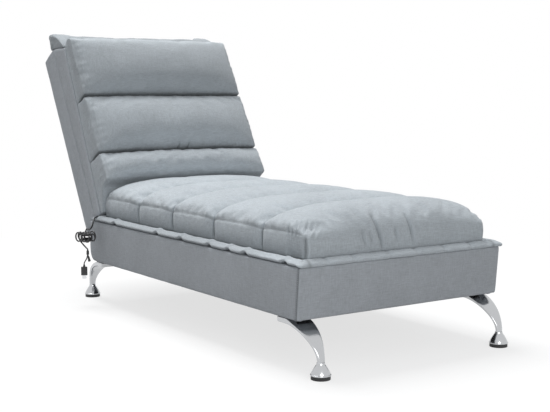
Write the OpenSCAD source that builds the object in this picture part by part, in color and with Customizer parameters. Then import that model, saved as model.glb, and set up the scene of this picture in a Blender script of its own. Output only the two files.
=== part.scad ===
// Massage lounge chair: an upholstered base on four curved legs, a channelled seat topper
// and a reclining back with three pillows, with massage motors inside the seat and the back.
// X runs across the chair, the foot end points to -Y and the back to +Y. The floor is at z = 0.

/* [Base] */
// Width of the base over its cover
base_w = 600; // [520:5:760]
// Length of the base over its cover
base_l = 1052; // [900:1:1300]
// Height of the base box
base_h = 117; // [110:1:150]
// Space between the floor and the base
leg_h = 120; // [115:1:150]
// How far the front face runs in at its foot
front_slant = 10; // [0:1:20]
// Radius of the rear lower corners
corner_r = 30; // [10:1:40]
// Thickness of the side boards
board_t = 17; // [12:1:20]
// Thickness of the cross boards
rail_t = 18; // [12:1:20]
// Thickness of the seat board
deck_t = 12; // [9:1:15]
// Depth of the foam in the base
base_foam_t = 42; // [38:1:50]
// Thickness of the cover with its wadding
cover_t = 3; // [2:0.5:4]

/* [Seat] */
// Thickness of the topper's sewn border
flange_t = 11; // [8:1:14]
// Inset of the cushion from the base's sides
seat_in = 30; // [20:1:50]
// Inset of the cushion from the base's front
seat_front_in = 22; // [10:1:40]
// Gap from the cushion's rear end to the rear of the base
seat_rear_in = 37; // [37:1:60]
// Height of the cushion's side panels
seat_wall_h = 55; // [40:1:55]
// Rise of the crown over the side panels
seat_crown_h = 56; // [30:1:56]
// Depth of the cross channels
channel_d = 13; // [4:1:20]

/* [Back] */
// Lean of the back from the vertical as it stands
lean = 29.8; // [28:0.1:34]
// Length of the back slab along its slope
back_l = 592; // [520:1:700]
// Thickness of the back slab
slab_t = 76; // [72:1:80]
// Depth of the topper's border at its foot
border_low_t = 36; // [32:1:38]
// Depth of the topper's border at its top
border_top_t = 74; // [60:1:80]
// Depth of the pillow creases in front of the rear face
crease_t = 197; // [190:1:205]
// Rise of the pillows over their creases
pillow_rise = 50; // [20:1:60]

/* [Legs] */
// Inset of a leg's middle from the base's side
leg_in = 33; // [33:1:40]
// Reach of the front feet in front of the base
front_foot_out = 33; // [20:1:40]
// Reach of the rear feet behind the base
rear_foot_out = 57; // [45:1:60]
// Width of a leg at its top
leg_top_w = 56; // [48:1:60]
// Width of a leg at its neck
leg_neck_w = 18; // [14:1:18]
// Diameter of the feet
foot_d = 46; // [44:1:64]
// Height of the feet with their pads
foot_h = 36; // [30:1:40]
// Thickness of the rubber pads
pad_t = 8; // [5:1:10]

/* [Hinges] */
// Distance of the pivots from the rear of the base
pivot_in = 17; // [15:1:19]
// Depth of the pivots under the base's top
pivot_drop = 24; // [23:1:26]
// Distance of the pivots in front of the back's rear face
pivot_depth = 85.4; // [84.4:0.1:88]
// Diameter of the pivot pins
pin_d = 10; // [8:1:12]
// Thickness of the swinging arms
arm_t = 5; // [4:0.5:6]
// Thickness of the fixed plates
plate_t = 4; // [3:0.5:5]

/* [Motors] */
// Diameter of a motor case
case_d = 46; // [42:1:50]
// Height of a motor case
case_h = 26; // [25:1:30]
// Distance of the motors from the middle
motor_x = 120; // [100:1:140]
// Diameter of the motor shafts
shaft_d = 3; // [2:0.5:4]

/* [Cord] */
// Diameter of the lead
cord_d = 4.2; // [4:0.1:4.4]
// Diameter of the two short leads under the splitter
lead_d = 3.4; // [3:0.1:3.4]
// Full loops in the hank
hank_loops = 6; // [3:1:6]

/* [Hidden] */

// Clearances, and how far cuts run past what they cut
gap = 0.5;
soft_gap = 0.4;
run_gap = 0.05;
over = 1;

fabric_c = [0.62, 0.65, 0.68];
side_c = [0.55, 0.57, 0.6];
wood_c = [0.72, 0.56, 0.38];
foam_c = [0.9, 0.86, 0.7];
chrome_c = [0.8, 0.81, 0.83];
steel_c = [0.6, 0.61, 0.63];
black_c = [0.09, 0.09, 0.1];

// Places along the chair, with the middle of its whole length at y = 0
half_w = base_w / 2;
back_foot_z = 21.5;
back_top_z = back_foot_z + back_l;
back_reach = pivot_depth * cos(lean) + back_top_z * sin(lean) - pivot_in;
foot_room = 28;
foot_reach = front_foot_out + foot_room;
front_y = (foot_reach - base_l - back_reach) / 2;
rear_y = front_y + base_l;
top_z = leg_h + base_h;
pivot_y = rear_y - pivot_in;
pivot_z = top_z - pivot_drop;

// Base woodwork and its cover
hem_w = 25;
board_x = half_w - cover_t;
inner_x = board_x - board_t;
board_z = leg_h + cover_t;
board_top_z = top_z - cover_t;
board_h = board_top_z - board_z;
rail_y = front_y + front_slant + cover_t;
deck_z = top_z - base_foam_t - deck_t;
deck_top_z = deck_z + deck_t;
deck_y = rail_y + rail_t + gap;
deck_rear_y = rear_y - cover_t - rail_t - gap;
foam_rear_y = rear_y - hem_w - gap;
cross_rail_shares = [0.36, 0.68];
block_w = 38;
block_l = 62;

// Seat topper
flange_over = 2;
flange_rear_in = 14;
flange_z = top_z + gap;
cushion_z = flange_z + flange_t + gap;
seat_x = half_w - seat_in;
seat_y = front_y + seat_front_in;
seat_rear_y = rear_y - seat_rear_in;
seat_top_z = cushion_z + seat_wall_h + seat_crown_h;
seam_shares = [0, 0.178, 0.394, 0.602, 0.791, 1];
seam_pull = 4;
side_bulge = 3;
front_r = 72;
rear_r = 45;

// Hinges: the plate lies on the side board, then come the arm and the pin's head
hinge_gap = 1;
plate_x = inner_x - plate_t;
arm_x = plate_x - hinge_gap;
stile_x = arm_x - arm_t;
pin_head_t = 4;
pin_head_d = 17;
rear_rail_x = stile_x - hinge_gap - pin_head_t - hinge_gap;
eye_r = 15;
plate_down = 40;
plate_l = 95;
slot_down = 50;
arm_low_y = 31;
arm_rear_y = 62;
arm_low_z = 27;
arm_top_z = 118;
arm_screw_y = 46;
arm_screw_shares = [0.2, 0.5, 0.85];
plate_screw_shares = [0.45, 0.68, 0.9];

// Back, in its own frame: y to the rear, z up the slope, zero at the pivots
back_x = arm_x + cover_t;
rear_f = pivot_depth;
slab_f = rear_f - slab_t;
stile_w = 30;
stile_t = 57;
rail_h = 45;
panel_t = 8;
stile_f = rear_f - cover_t - stile_t;
panel_f = stile_f - panel_t;
slab_r = 5;
border_wall = 10;
border_z = 34;
border_top_drop = 39;
border_top_z = back_top_z - border_top_drop;
border_f = slab_f - gap;
border_low_f = border_f - border_low_t;
border_top_f = border_f - border_top_t;
crease_f = rear_f - crease_t;
crease_low_rise = 160;
crease_high_rise = 350;
crease_z = [border_z + crease_low_rise, border_z + crease_high_rise];
pillow_top_drop = 22;
pillow_top_z = back_top_z - pillow_top_drop;
pillow_lip = 16;
pillow_over = 2;
under_gap = 1.5;
under_rise = 13;
under_in = 30;
under_drop = 24;
flap_top = 18;
flap_lean = 48;
ear_top = 56;
ear_in = 60;
flap_edge = 4;

// Legs, seen from the side: distances inboard of the foot's middle
leg_x = half_w - leg_in;
plate_end = 125;
plate_low = 14.5;
neck_in = 4.5;
neck_out = 5.5;
flat_a = 90;
leg_screw_a = [98, 115];
leg_screw_in = 14;
cone_rim = 3;
cone_neck_d = 21;
collar_h = 6;

screw_d = 6;
head_d = 11;
head_h = 3;
leg_screw_l = 58;
board_screw_l = 14;
stile_screw_l = 26;

// Massage motors
case_wall = 2;
rim_w = 5;
rim_t = 2;
motor_d = 24;
motor_h = 12;
shaft_end = 2;
weight_d = 30;
weight_t = 6;
weight_z = 3.5;
hub_d = 8;
seat_motor_in = 400;
seat_motor_y = seat_y + seat_motor_in;
back_motor_rise = 168;
back_motor_z = border_z + back_motor_rise;
box_w = 70;
box_l = 60;
box_h = 22;
box_in = 34;
box_side = 70;
box_x = rear_rail_x - box_side;
box_y = deck_rear_y - box_in - box_l;
wire_d = 4;
wire_h = 7;
wire_side = 64;
wire_x = rear_rail_x - wire_side;
wire_step = 12;
wire_row = 60;
wire_r = 7;
channel_w = 11;

// The lead leaves its gland behind the seat cushion's rear left corner
gland_d = 6.6;
gland_l = 14;
gland_side = 8;
gland_x = seat_x - gland_side;
gland_in = 7;
gland_y = seat_rear_y + gland_in;
lead_z = flange_z + flange_t + gland_d / 2;
riser_side = 49;
riser_x = rear_rail_x - riser_side;

// The hank hangs beside the base's rear left corner: each loop has two round folds, drawn in
// to a waist between them, and steps one cord over along its lower run
hank_at = [-340, 307, 199];
hank_turn = -77.6;
hank_a = 30;
hank_r = 12;
hank_waist = 4;
hank_gap = 0.8;
hank_stub = 16;
hank_step = cord_d + hank_gap;
hank_rings = 24;
hank_first = 15;
hank_last = 18;
fold_a = hank_a - hank_r;
waist_r = (fold_a * fold_a + hank_waist * hank_waist - hank_r * hank_r) / (2 * (hank_r - hank_waist));
fold_end = atan2(hank_waist + waist_r, -fold_a);
tie_w = 5;
tie_t = 1.2;
tie_gap = 0.4;

// Hand-set routes of the lead, from its gland to the hank and from there to the splitter
lead_route = [
  [-268, 345.5, 251.8], [-276, 344, 251.5], [-288, 339, 251], [-299, 330, 251], [-308, 319, 250],
  [-316, 308, 247], [-322, 301, 240], [-326, 299, 231], [-328, 304, 223], [-329, 313, 219]
];
tail_route = [[-356, 312, 174], [-351, 305, 169], [-345, 301, 166]];
splitter_at = [-341, 300, 160];
splitter_d = 8;
splitter_l = 11;
splitter_in = 2.2;
usb_route = [[-341, 303, 144], [-341, 308, 136], [-341, 318, 128], [-341, 325, 121]];
usb_at = [-341, 326, 110];
usb_turn = -25;
usb_w = 18;
usb_t = 8.5;
usb_l = 24;
usb_r = 2;
relief_l = 7;
relief_wall = 1;
shell_w = 12;
shell_t = 4.5;
shell_l = 10;
shell_wall = 0.4;
shell_root = 4;
socket_tilt = 28;
socket_d = 8;
socket_l = 14;
socket_bore_d = 5.4;
socket_pin_d = 2;
socket_lead_l = 4;

function mix(a, b, f) = a + (b - a) * f;
function bez(p, f) =
  p[0] * pow(1 - f, 3) + p[1] * 3 * f * pow(1 - f, 2) + p[2] * 3 * f * f * (1 - f) + p[3] * pow(f, 3);
function bez_points(p, n) = [for (i = [0:n]) bez(p, i / n)];
function arc_points(c, r, a0, a1, n) =
  [for (i = [0:n]) let (a = mix(a0, a1, i / n)) c + r * [cos(a), sin(a)]];
function unit(v) = v / norm(v);
function catmull(a, b, c, d, f) =
  (2 * b + (c - a) * f + (2 * a - 5 * b + 4 * c - d) * f * f + (3 * b - a - 3 * c + d) * pow(f, 3)) / 2;
function smooth(p, k) = [
  for (i = [0:len(p) - 2])
    for (j = [0:k - 1])
      catmull(p[max(i - 1, 0)], p[i], p[i + 1], p[min(i + 2, len(p) - 1)], j / k),
  p[len(p) - 1]
];
// A path with each corner turned into a curve that starts r before it
function rounded(p, r) = [
  p[0],
  for (i = [1:len(p) - 2])
    let (a = p[i] + r * unit(p[i - 1] - p[i]), b = p[i] + r * unit(p[i + 1] - p[i]))
      for (f = [0:0.25:1])
        mix(mix(a, p[i], f), mix(p[i], b, f), f),
  p[len(p) - 1]
];
function tangent(p, i) = unit(p[min(i + 1, len(p) - 1)] - p[max(i - 1, 0)]);
// One ring of a round tube at point i, turned against ref so that every ring lies alike
function ring(p, i, r, n, ref) =
  let (t = tangent(p, i), u = unit(cross(t, ref)), v = cross(t, u))
    [for (k = [0:n - 1]) p[i] + r * (u * cos(360 * k / n) + v * sin(360 * k / n))];

// Closed solid of triangles through rings that all have as many points
module loft(rings) {
  n = len(rings[0]);
  m = len(rings);
  last = (m - 1) * n;
  sides = [
    for (j = [0:m - 2])
      for (i = [0:n - 1])
        let (a = j * n + i, b = j * n + (i + 1) % n)
          each [[a, a + n, b + n], [a, b + n, b]]
  ];
  first_cap = [for (i = [1:n - 2]) [0, i, i + 1]];
  last_cap = [for (i = [1:n - 2]) [last, last + i + 1, last + i]];
  polyhedron([for (r = rings) each r], concat(sides, first_cap, last_cap));
}

module tube(p, d, n, ref) {
  loft([for (i = [0:len(p) - 1]) ring(p, i, d / 2, n, ref)]);
}

// Extrudes an outline of [y, z] points across the chair
module across(w) {
  rotate([90, 0, 90])
    linear_extrude(w, center = true)
      children();
}

module on_back() {
  translate([0, pivot_y, pivot_z])
    rotate([-lean, 0, 0])
      children();
}

// Side view of the base, drawn in by d
module base_outline(d) {
  corner = [rear_y - corner_r, leg_h + corner_r];
  polygon(concat(
    [[front_y + d, top_z - d], [front_y + front_slant + d, leg_h + d]],
    arc_points(corner, corner_r - d, -90, 0, 10),
    [[rear_y - d, top_z - d]]
  ));
}

module base_side(side) {
  color(wood_c)
    difference() {
      translate([side * (board_x - board_t / 2), 0, 0])
        across(board_t)
          base_outline(cover_t);
      plate_screw_at()
        rotate([0, 90, 0])
          cylinder(d = screw_d + 2 * run_gap, h = 2 * (plate_x + board_screw_l), center = true, $fn = 24);
    }
}

module base_side_left() {
  base_side(-1);
}

module base_side_right() {
  base_side(1);
}

module base_front_rail() {
  slant = front_slant * board_h / base_h;
  color(wood_c)
    across(2 * inner_x)
      polygon([
        [rail_y, board_z],
        [rail_y + rail_t, board_z],
        [rail_y + rail_t, board_top_z],
        [rail_y - slant, board_top_z]
      ]);
}

module base_rear_rail() {
  color(wood_c)
    translate([-rear_rail_x, rear_y - cover_t - rail_t, leg_h + corner_r])
      cube([2 * rear_rail_x, rail_t, board_top_z - leg_h - corner_r]);
}

module base_cross_rails() {
  color(wood_c)
    for (share = cross_rail_shares)
      translate([-inner_x, mix(front_y, rear_y, share), board_z])
        cube([2 * inner_x, rail_t, deck_z - board_z]);
}

module seat_deck() {
  color(wood_c)
    translate([-rear_rail_x, deck_y, deck_z])
      cube([2 * rear_rail_x, deck_rear_y - deck_y, deck_t]);
}

module base_cover() {
  slot_w = inner_x - rear_rail_x;
  color(side_c)
    difference() {
      across(base_w)
        base_outline(0);
      across(2 * board_x)
        base_outline(cover_t);
      translate([-half_w + hem_w, front_y + hem_w, leg_h - over])
        cube([base_w - 2 * hem_w, base_l - 2 * hem_w, base_h + 2 * over]);
      for (side = [-1, 1])
        translate([side * (inner_x - slot_w / 2) - slot_w / 2, rear_y - hem_w - over, pivot_z - slot_down])
          cube([slot_w, hem_w + 2 * over, board_top_z - pivot_z + slot_down]);
    }
}

module at_leg_screws() {
  for (side = [-1, 1])
    for (a = leg_screw_a) {
      translate([side * (leg_x - leg_screw_in), front_y - front_foot_out + a, 0])
        children();
      translate([side * (leg_x - leg_screw_in), rear_y + rear_foot_out - a, 0])
        children();
    }
}

module dust_cover() {
  w = base_w - 2 * (hem_w + gap);
  color(black_c)
    difference() {
      translate([-w / 2, front_y + hem_w + gap, leg_h])
        cube([w, base_l - 2 * (hem_w + gap), cover_t - gap]);
      at_leg_screws()
        cylinder(d = screw_d + 2 * gap, h = top_z, $fn = 24);
    }
}

module leg_blocks() {
  z = leg_h + cover_t;
  color(wood_c)
    difference() {
      for (side = [-1, 1]) {
        x = side * (rear_rail_x - block_w / 2) - block_w / 2;
        translate([x, front_y - front_foot_out + leg_screw_a[1] + block_l / 4 - block_l, z])
          cube([block_w, block_l, deck_z - z]);
        translate([x, rear_y - corner_r - block_l, z])
          cube([block_w, block_l, deck_z - z]);
      }
      at_leg_screws()
        cylinder(d = screw_d + 2 * run_gap, h = leg_h + leg_screw_l, $fn = 24);
    }
}

// A leg over the middle of its foot, with its plate along +Y: a side view cut by a front view
module leg(screw_x) {
  low = leg_h - plate_low;
  outer = [[-neck_out, foot_h], [-neck_out, 0.6 * leg_h], [0.42 * flat_a, 0.87 * leg_h], [flat_a, leg_h]];
  inner = [[neck_in, foot_h], [neck_in, 0.65 * low], [0.36 * plate_end, 0.96 * low], [flat_a, low]];
  flare = [
    [leg_neck_w / 2, foot_h], [leg_neck_w / 2, 0.52 * leg_h],
    [0.34 * leg_top_w, 0.67 * leg_h], [leg_top_w / 2, 0.92 * leg_h]
  ];
  edge = bez_points(flare, 12);
  difference() {
    intersection() {
      across(leg_top_w + 2 * over)
        polygon(concat(
          bez_points(outer, 16),
          [[plate_end, leg_h], [plate_end, low]],
          [for (i = [0:16]) bez(inner, 1 - i / 16)]
        ));
      rotate([90, 0, 0])
        linear_extrude(4 * plate_end, center = true)
          polygon(concat(
            edge,
            [[leg_top_w / 2, leg_h + over], [-leg_top_w / 2, leg_h + over]],
            [for (i = [0:12]) [-edge[12 - i][0], edge[12 - i][1]]]
          ));
    }
    for (a = leg_screw_a)
      translate([screw_x, a, 0]) {
        cylinder(d = screw_d + 2 * run_gap, h = top_z, $fn = 24);
        cylinder(d = head_d + 2 * gap, h = low + head_h, $fn = 24);
      }
  }
}

module front_leg(side) {
  color(chrome_c)
    translate([side * leg_x, front_y - front_foot_out, 0])
      leg(-side * leg_screw_in);
}

module rear_leg(side) {
  color(chrome_c)
    translate([side * leg_x, rear_y + rear_foot_out, 0])
      rotate([0, 0, 180])
        leg(side * leg_screw_in);
}

module leg_front_left() {
  front_leg(-1);
}

module leg_front_right() {
  front_leg(1);
}

module leg_rear_left() {
  rear_leg(-1);
}

module leg_rear_right() {
  rear_leg(1);
}

// A cone that spreads from the leg's neck to a rolled rim
module foot(x, y) {
  r = foot_d / 2;
  neck_r = cone_neck_d / 2;
  color(chrome_c)
    translate([x, y, 0])
      rotate_extrude($fn = 64)
        polygon([
          [0, pad_t],
          [r - cone_rim / 2, pad_t],
          [r, pad_t + cone_rim / 2],
          [r, pad_t + cone_rim],
          [r - cone_rim / 2, pad_t + 1.6 * cone_rim],
          [neck_r + 0.3 * cone_rim, foot_h - collar_h],
          [neck_r, foot_h - collar_h / 2],
          [neck_r, foot_h],
          [0, foot_h]
        ]);
}

module foot_front_left() {
  foot(-leg_x, front_y - front_foot_out);
}

module foot_front_right() {
  foot(leg_x, front_y - front_foot_out);
}

module foot_rear_left() {
  foot(-leg_x, rear_y + rear_foot_out);
}

module foot_rear_right() {
  foot(leg_x, rear_y + rear_foot_out);
}

module foot_pads() {
  color(black_c)
    for (x = [-leg_x, leg_x])
      for (y = [front_y - front_foot_out, rear_y + rear_foot_out])
        translate([x, y, 0])
          cylinder(d = foot_d - cone_rim, h = pad_t, $fn = 64);
}

// A countersunk screw: its head's face at z = 0, its shank along +Z
module screw(l) {
  cylinder(d = head_d, h = head_h - gap, $fn = 24);
  cylinder(d = screw_d, h = l, $fn = 24);
}

module leg_screws() {
  color(steel_c)
    at_leg_screws()
      translate([0, 0, leg_h - plate_low + gap])
        screw(leg_screw_l);
}

module at_seat_motors() {
  for (x = [-motor_x, motor_x])
    translate([x, seat_motor_y, deck_top_z])
      children();
}

// Wires lie on the seat board, from the control box to the two cases and to the gland
wire_z = deck_top_z + wire_h;
seat_wire_left = [
  [-wire_x, box_y, wire_z],
  [-wire_x, seat_motor_y, wire_z],
  [-motor_x - case_d / 2, seat_motor_y, wire_z]
];
seat_wire_right = [
  [-wire_x + wire_step, box_y, wire_z],
  [-wire_x + wire_step, seat_motor_y + wire_row, wire_z],
  [motor_x, seat_motor_y + wire_row, wire_z],
  [motor_x, seat_motor_y + case_d / 2, wire_z]
];
seat_wire_out = [
  [-riser_x, box_y + box_l, wire_z],
  [-riser_x, gland_y, wire_z],
  [-riser_x, gland_y, lead_z],
  [-gland_x + gland_l, gland_y, lead_z]
];

// Straight grooves around a path whose runs follow the axes
module grooves(p) {
  for (i = [0:len(p) - 2]) {
    low = [for (k = [0:2]) min(p[i][k], p[i + 1][k]) - channel_w / 2];
    high = [for (k = [0:2]) max(p[i][k], p[i + 1][k]) + channel_w / 2];
    translate(low)
      cube(high - low);
  }
}

module base_foam() {
  w = 2 * (rear_rail_x - gap);
  color(foam_c)
    difference() {
      translate([-w / 2, deck_y, deck_top_z])
        cube([w, foam_rear_y - deck_y, top_z - deck_top_z]);
      at_seat_motors() {
        cylinder(d = case_d + 2 * gap, h = case_h + gap, $fn = 48);
        cylinder(d = case_d + 2 * (rim_w + gap), h = rim_t + gap, $fn = 48);
      }
      translate([-box_x - box_w / 2 - gap, box_y - gap, deck_top_z])
        cube([box_w + 2 * gap, box_l + 2 * gap, box_h + gap]);
      grooves(seat_wire_left);
      grooves(seat_wire_right);
      grooves(seat_wire_out);
    }
}

module seat_flange() {
  w = base_w + 2 * flange_over;
  l = base_l + 2 * flange_over - flange_rear_in;
  color(fabric_c)
    difference() {
      translate([-w / 2, front_y - 2 * flange_over, flange_z])
        cube([w, l, flange_t]);
      grooves(seat_wire_out);
    }
}

// How near a place in its row of stitching is to a seam: 1 on the seam, 0 in mid-roll
function seam_near(share) =
  max([
    for (i = [0:len(seam_shares) - 2])
      let (a = seam_shares[i], b = seam_shares[i + 1], f = (share - a) / (b - a))
        f < 0 || f > 1 ? 0 : pow(abs(2 * f - 1), 5)
  ]);
function quarter(f) = f <= 0 ? 1 : sqrt(max(0, 1 - f * f));

// One ring of the seat cushion at a share of its length
function seat_ring(share) =
  let (
    l = seat_rear_y - seat_y,
    y = mix(seat_y, seat_rear_y, share),
    near = seam_near(share),
    front = quarter(1 - share * l / front_r),
    rear = quarter(1 - (1 - share) * l / rear_r),
    w = seat_x - seam_pull * near - 3 * side_bulge * (1 - front),
    bulge = side_bulge * mix(1, 0.2, near),
    wall = cushion_z + seat_wall_h * mix(0.55, 1, front),
    crown = (seat_crown_h * mix(0.05, 1, front) * mix(0.3, 1, rear)) - channel_d * near * rear * front,
    n = 12
  )
    concat(
      [[-w, y, cushion_z], [-w - bulge, y, mix(cushion_z, wall, 0.5)]],
      [
        for (i = [0:n])
          let (u = -cos(180 * i / n))
            [w * u, y, wall + crown * pow(max(0, 1 - pow(abs(u), 3)), 0.45)]
      ],
      [[w + bulge, y, mix(cushion_z, wall, 0.5)], [w, y, cushion_z]]
    );

module seat_cushion() {
  inner_shares = [0.05, 0.14, 0.3, 0.5, 0.7, 0.86, 0.95, 1];
  front_shares = [0, 0.006, 0.017, 0.034, 0.055, 0.08, 0.11, 0.14, 0.165, 0.178];
  rings = concat(
    front_shares,
    [
      for (i = [1:len(seam_shares) - 2])
        for (f = inner_shares)
          mix(seam_shares[i], seam_shares[i + 1], f)
    ]
  );
  color(fabric_c)
    loft([for (share = rings) seat_ring(share)]);
}

module plate_screw_at() {
  for (share = plate_screw_shares)
    translate([0, pivot_y - share * plate_l, pivot_z + eye_r / 2 - plate_down / 2])
      children();
}

// A fixed plate against the side board, with its eye around the pin
module hinge_plate(side) {
  color(steel_c)
    difference() {
      translate([side * (plate_x + plate_t / 2), 0, 0])
        across(plate_t)
          difference() {
            union() {
              translate([pivot_y, pivot_z])
                circle(r = eye_r, $fn = 48);
              polygon([
                [pivot_y, pivot_z + eye_r],
                [pivot_y - plate_l, pivot_z + eye_r],
                [pivot_y - plate_l, pivot_z - plate_down],
                [pivot_y - plate_l / 3, pivot_z - plate_down],
                [pivot_y, pivot_z - eye_r]
              ]);
            }
            translate([pivot_y, pivot_z])
              circle(d = pin_d + 2 * run_gap, $fn = 48);
          }
      plate_screw_at()
        rotate([0, 90, 0]) {
          cylinder(d = screw_d + 2 * run_gap, h = base_w, center = true, $fn = 24);
          cylinder(d = head_d + 2 * run_gap, h = 2 * (plate_x + head_h - gap), center = true, $fn = 24);
        }
    }
}

module hinge_plate_left() {
  hinge_plate(-1);
}

module hinge_plate_right() {
  hinge_plate(1);
}

// The pins end in heads that keep the arms on
module hinge_pins() {
  l = inner_x - stile_x + hinge_gap + pin_head_t;
  color(steel_c)
    for (side = [-1, 1])
      translate([side * inner_x, pivot_y, pivot_z])
        rotate([0, -side * 90, 0]) {
          cylinder(d = pin_d, h = l, $fn = 48);
          translate([0, 0, l - pin_head_t])
            cylinder(d = pin_head_d, h = pin_head_t, $fn = 48);
        }
}

module plate_screws() {
  color(steel_c)
    for (side = [-1, 1])
      plate_screw_at()
        translate([side * plate_x, 0, 0])
          rotate([0, side * 90, 0])
            screw(board_screw_l);
}

// Massage motors: a case screwed down by its rim, a motor under its roof, and an off-centre weight
module motor_case() {
  difference() {
    union() {
      cylinder(d = case_d, h = case_h, $fn = 48);
      cylinder(d = case_d + 2 * rim_w, h = rim_t, $fn = 48);
    }
    translate([0, 0, -over])
      cylinder(d = case_d - 2 * case_wall, h = case_h - case_wall + over, $fn = 48);
  }
}

module motor() {
  translate([0, 0, case_h - case_wall - motor_h])
    cylinder(d = motor_d, h = motor_h, $fn = 48);
  translate([0, 0, shaft_end])
    cylinder(d = shaft_d, h = case_h - case_wall - shaft_end, $fn = 24);
}

module weight() {
  translate([0, 0, weight_z])
    difference() {
      union() {
        cylinder(d = hub_d, h = weight_t, $fn = 24);
        intersection() {
          cylinder(d = weight_d, h = weight_t, $fn = 48);
          translate([-weight_d / 2, 0, 0])
            cube([weight_d, weight_d / 2, weight_t]);
        }
      }
      translate([0, 0, -over])
        cylinder(d = shaft_d + 2 * run_gap, h = weight_t + 2 * over, $fn = 24);
    }
}

module at_seat_motor(side) {
  translate([side * motor_x, seat_motor_y, deck_top_z])
    children();
}

module at_back_motor(side) {
  on_back()
    translate([side * motor_x, panel_f, back_motor_z])
      rotate([90, 0, 0])
        children();
}

module seat_motor_cases() {
  color(black_c)
    at_seat_motors()
      motor_case();
}

module seat_motors() {
  color(steel_c)
    at_seat_motors()
      motor();
}

module seat_weight_left() {
  color(steel_c)
    at_seat_motor(-1)
      weight();
}

module seat_weight_right() {
  color(steel_c)
    at_seat_motor(1)
      weight();
}

module control_box() {
  color(black_c)
    translate([-box_x - box_w / 2, box_y, deck_top_z])
      cube([box_w, box_l, box_h]);
}

module wire(p, d, ref) {
  tube(rounded(p, wire_r), d, 8, ref);
}

module seat_wiring() {
  color(black_c) {
    wire(seat_wire_left, wire_d, [0, 0, 1]);
    wire(seat_wire_right, wire_d, [0, 0, 1]);
    wire(seat_wire_out, cord_d, [1, 1, -1]);
  }
}

// The swinging arm, seen from the side, grown by g
module arm_outline(g) {
  polygon(concat(
    [
      [arm_rear_y + g, arm_low_z - 2 * g],
      [arm_rear_y + g, arm_top_z + g],
      [arm_low_y - g, arm_top_z + g],
      [arm_low_y - g, arm_low_z + 2 * eye_r + g]
    ],
    arc_points([0, 0], eye_r + g, 100, 304, 20)
  ));
}

module arm_space() {
  for (side = [-1, 1])
    translate([side * (stile_x + (arm_t - gap) / 2), 0, 0])
      across(arm_t + gap)
        arm_outline(gap);
}

module arm_screw_at() {
  for (share = arm_screw_shares)
    translate([0, arm_screw_y, mix(arm_low_z, arm_top_z, share)])
      children();
}

module hinge_arm(side) {
  color(steel_c)
    on_back()
      difference() {
        translate([side * (stile_x + arm_t / 2), 0, 0])
          across(arm_t)
            difference() {
              arm_outline(0);
              circle(d = pin_d + 2 * run_gap, $fn = 48);
            }
        arm_screw_at()
          rotate([0, 90, 0]) {
            cylinder(d = screw_d + 2 * run_gap, h = base_w, center = true, $fn = 24);
            translate([0, 0, side * (arm_x + over - (head_h - gap) / 2 - over / 2)])
              cylinder(d = head_d + 2 * run_gap, h = head_h - gap + over, center = true, $fn = 24);
          }
      }
}

module hinge_arm_left() {
  hinge_arm(-1);
}

module hinge_arm_right() {
  hinge_arm(1);
}

module arm_screws() {
  color(steel_c)
    on_back()
      for (side = [-1, 1])
        arm_screw_at()
          translate([side * arm_x, 0, 0])
            rotate([0, -side * 90, 0])
              screw(stile_screw_l);
}

module back_stile(side) {
  color(wood_c)
    on_back()
      difference() {
        translate([side * (stile_x - stile_w / 2) - stile_w / 2, stile_f, back_foot_z + cover_t])
          cube([stile_w, stile_t, back_l - 2 * cover_t]);
        arm_screw_at()
          rotate([0, side * 90, 0])
            translate([0, 0, arm_x - stile_screw_l - gap])
              cylinder(d = screw_d + 2 * run_gap, h = stile_screw_l, $fn = 24);
      }
}

module back_stile_left() {
  back_stile(-1);
}

module back_stile_right() {
  back_stile(1);
}

module back_rails() {
  w = 2 * (stile_x - stile_w);
  color(wood_c)
    on_back()
      for (z = [back_foot_z + cover_t, back_top_z - cover_t - rail_h])
        translate([-w / 2, stile_f, z])
          cube([w, stile_t, rail_h]);
}

module back_panel() {
  color(wood_c)
    on_back()
      translate([-stile_x, panel_f, back_foot_z + cover_t])
        cube([2 * stile_x, panel_t, back_l - 2 * cover_t]);
}

// Covers the slab's rear, sides, foot and top, and is open to the front
module back_cover() {
  color(side_c)
    on_back()
      difference() {
        across(2 * back_x)
          polygon(concat(
            [[slab_f, back_foot_z]],
            arc_points([rear_f - slab_r, back_foot_z + slab_r], slab_r, -90, 0, 6),
            arc_points([rear_f - slab_r, back_top_z - slab_r], slab_r, 0, 90, 6),
            [[slab_f, back_top_z]]
          ));
        across(2 * arm_x)
          polygon([
            [slab_f - over, back_foot_z + cover_t],
            [rear_f - cover_t, back_foot_z + cover_t],
            [rear_f - cover_t, back_top_z - cover_t],
            [slab_f - over, back_top_z - cover_t]
          ]);
        arm_space();
      }
}

// Front plane of the border and its sloping top, in the back's own frame
function front_at(z) = mix(border_low_f, border_top_f, (z - border_z) / (border_top_z - border_z));
top_slope = border_top_drop / border_top_t;
function top_at(y) = back_top_z + (y - border_f) * top_slope;
border_drop = border_wall * norm([1, top_slope]);

module back_border() {
  color(side_c)
    on_back()
      difference() {
        across(2 * back_x)
          polygon([
            [border_low_f, border_z],
            [border_f, border_z],
            [border_f, back_top_z],
            [border_top_f, border_top_z]
          ]);
        across(2 * (back_x - border_wall))
          polygon([
            [border_low_f - over, border_z + border_wall],
            [border_f + over, border_z + border_wall],
            [border_f + over, top_at(border_f + over) - border_drop],
            [border_top_f - over, top_at(border_top_f - over) - border_drop]
          ]);
      }
}

back_wire_f = panel_f - wire_h;
back_wire_z = border_z + border_wall + 2 * gap;
back_wire_left = [
  [-wire_x, back_wire_f, back_wire_z],
  [-wire_x, back_wire_f, back_motor_z],
  [-motor_x - case_d / 2, back_wire_f, back_motor_z]
];
back_wire_right = [
  [-wire_x + wire_step, back_wire_f, back_wire_z],
  [-wire_x + wire_step, back_wire_f, back_motor_z - wire_row],
  [motor_x, back_wire_f, back_motor_z - wire_row],
  [motor_x, back_wire_f, back_motor_z - case_d / 2]
];

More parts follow.
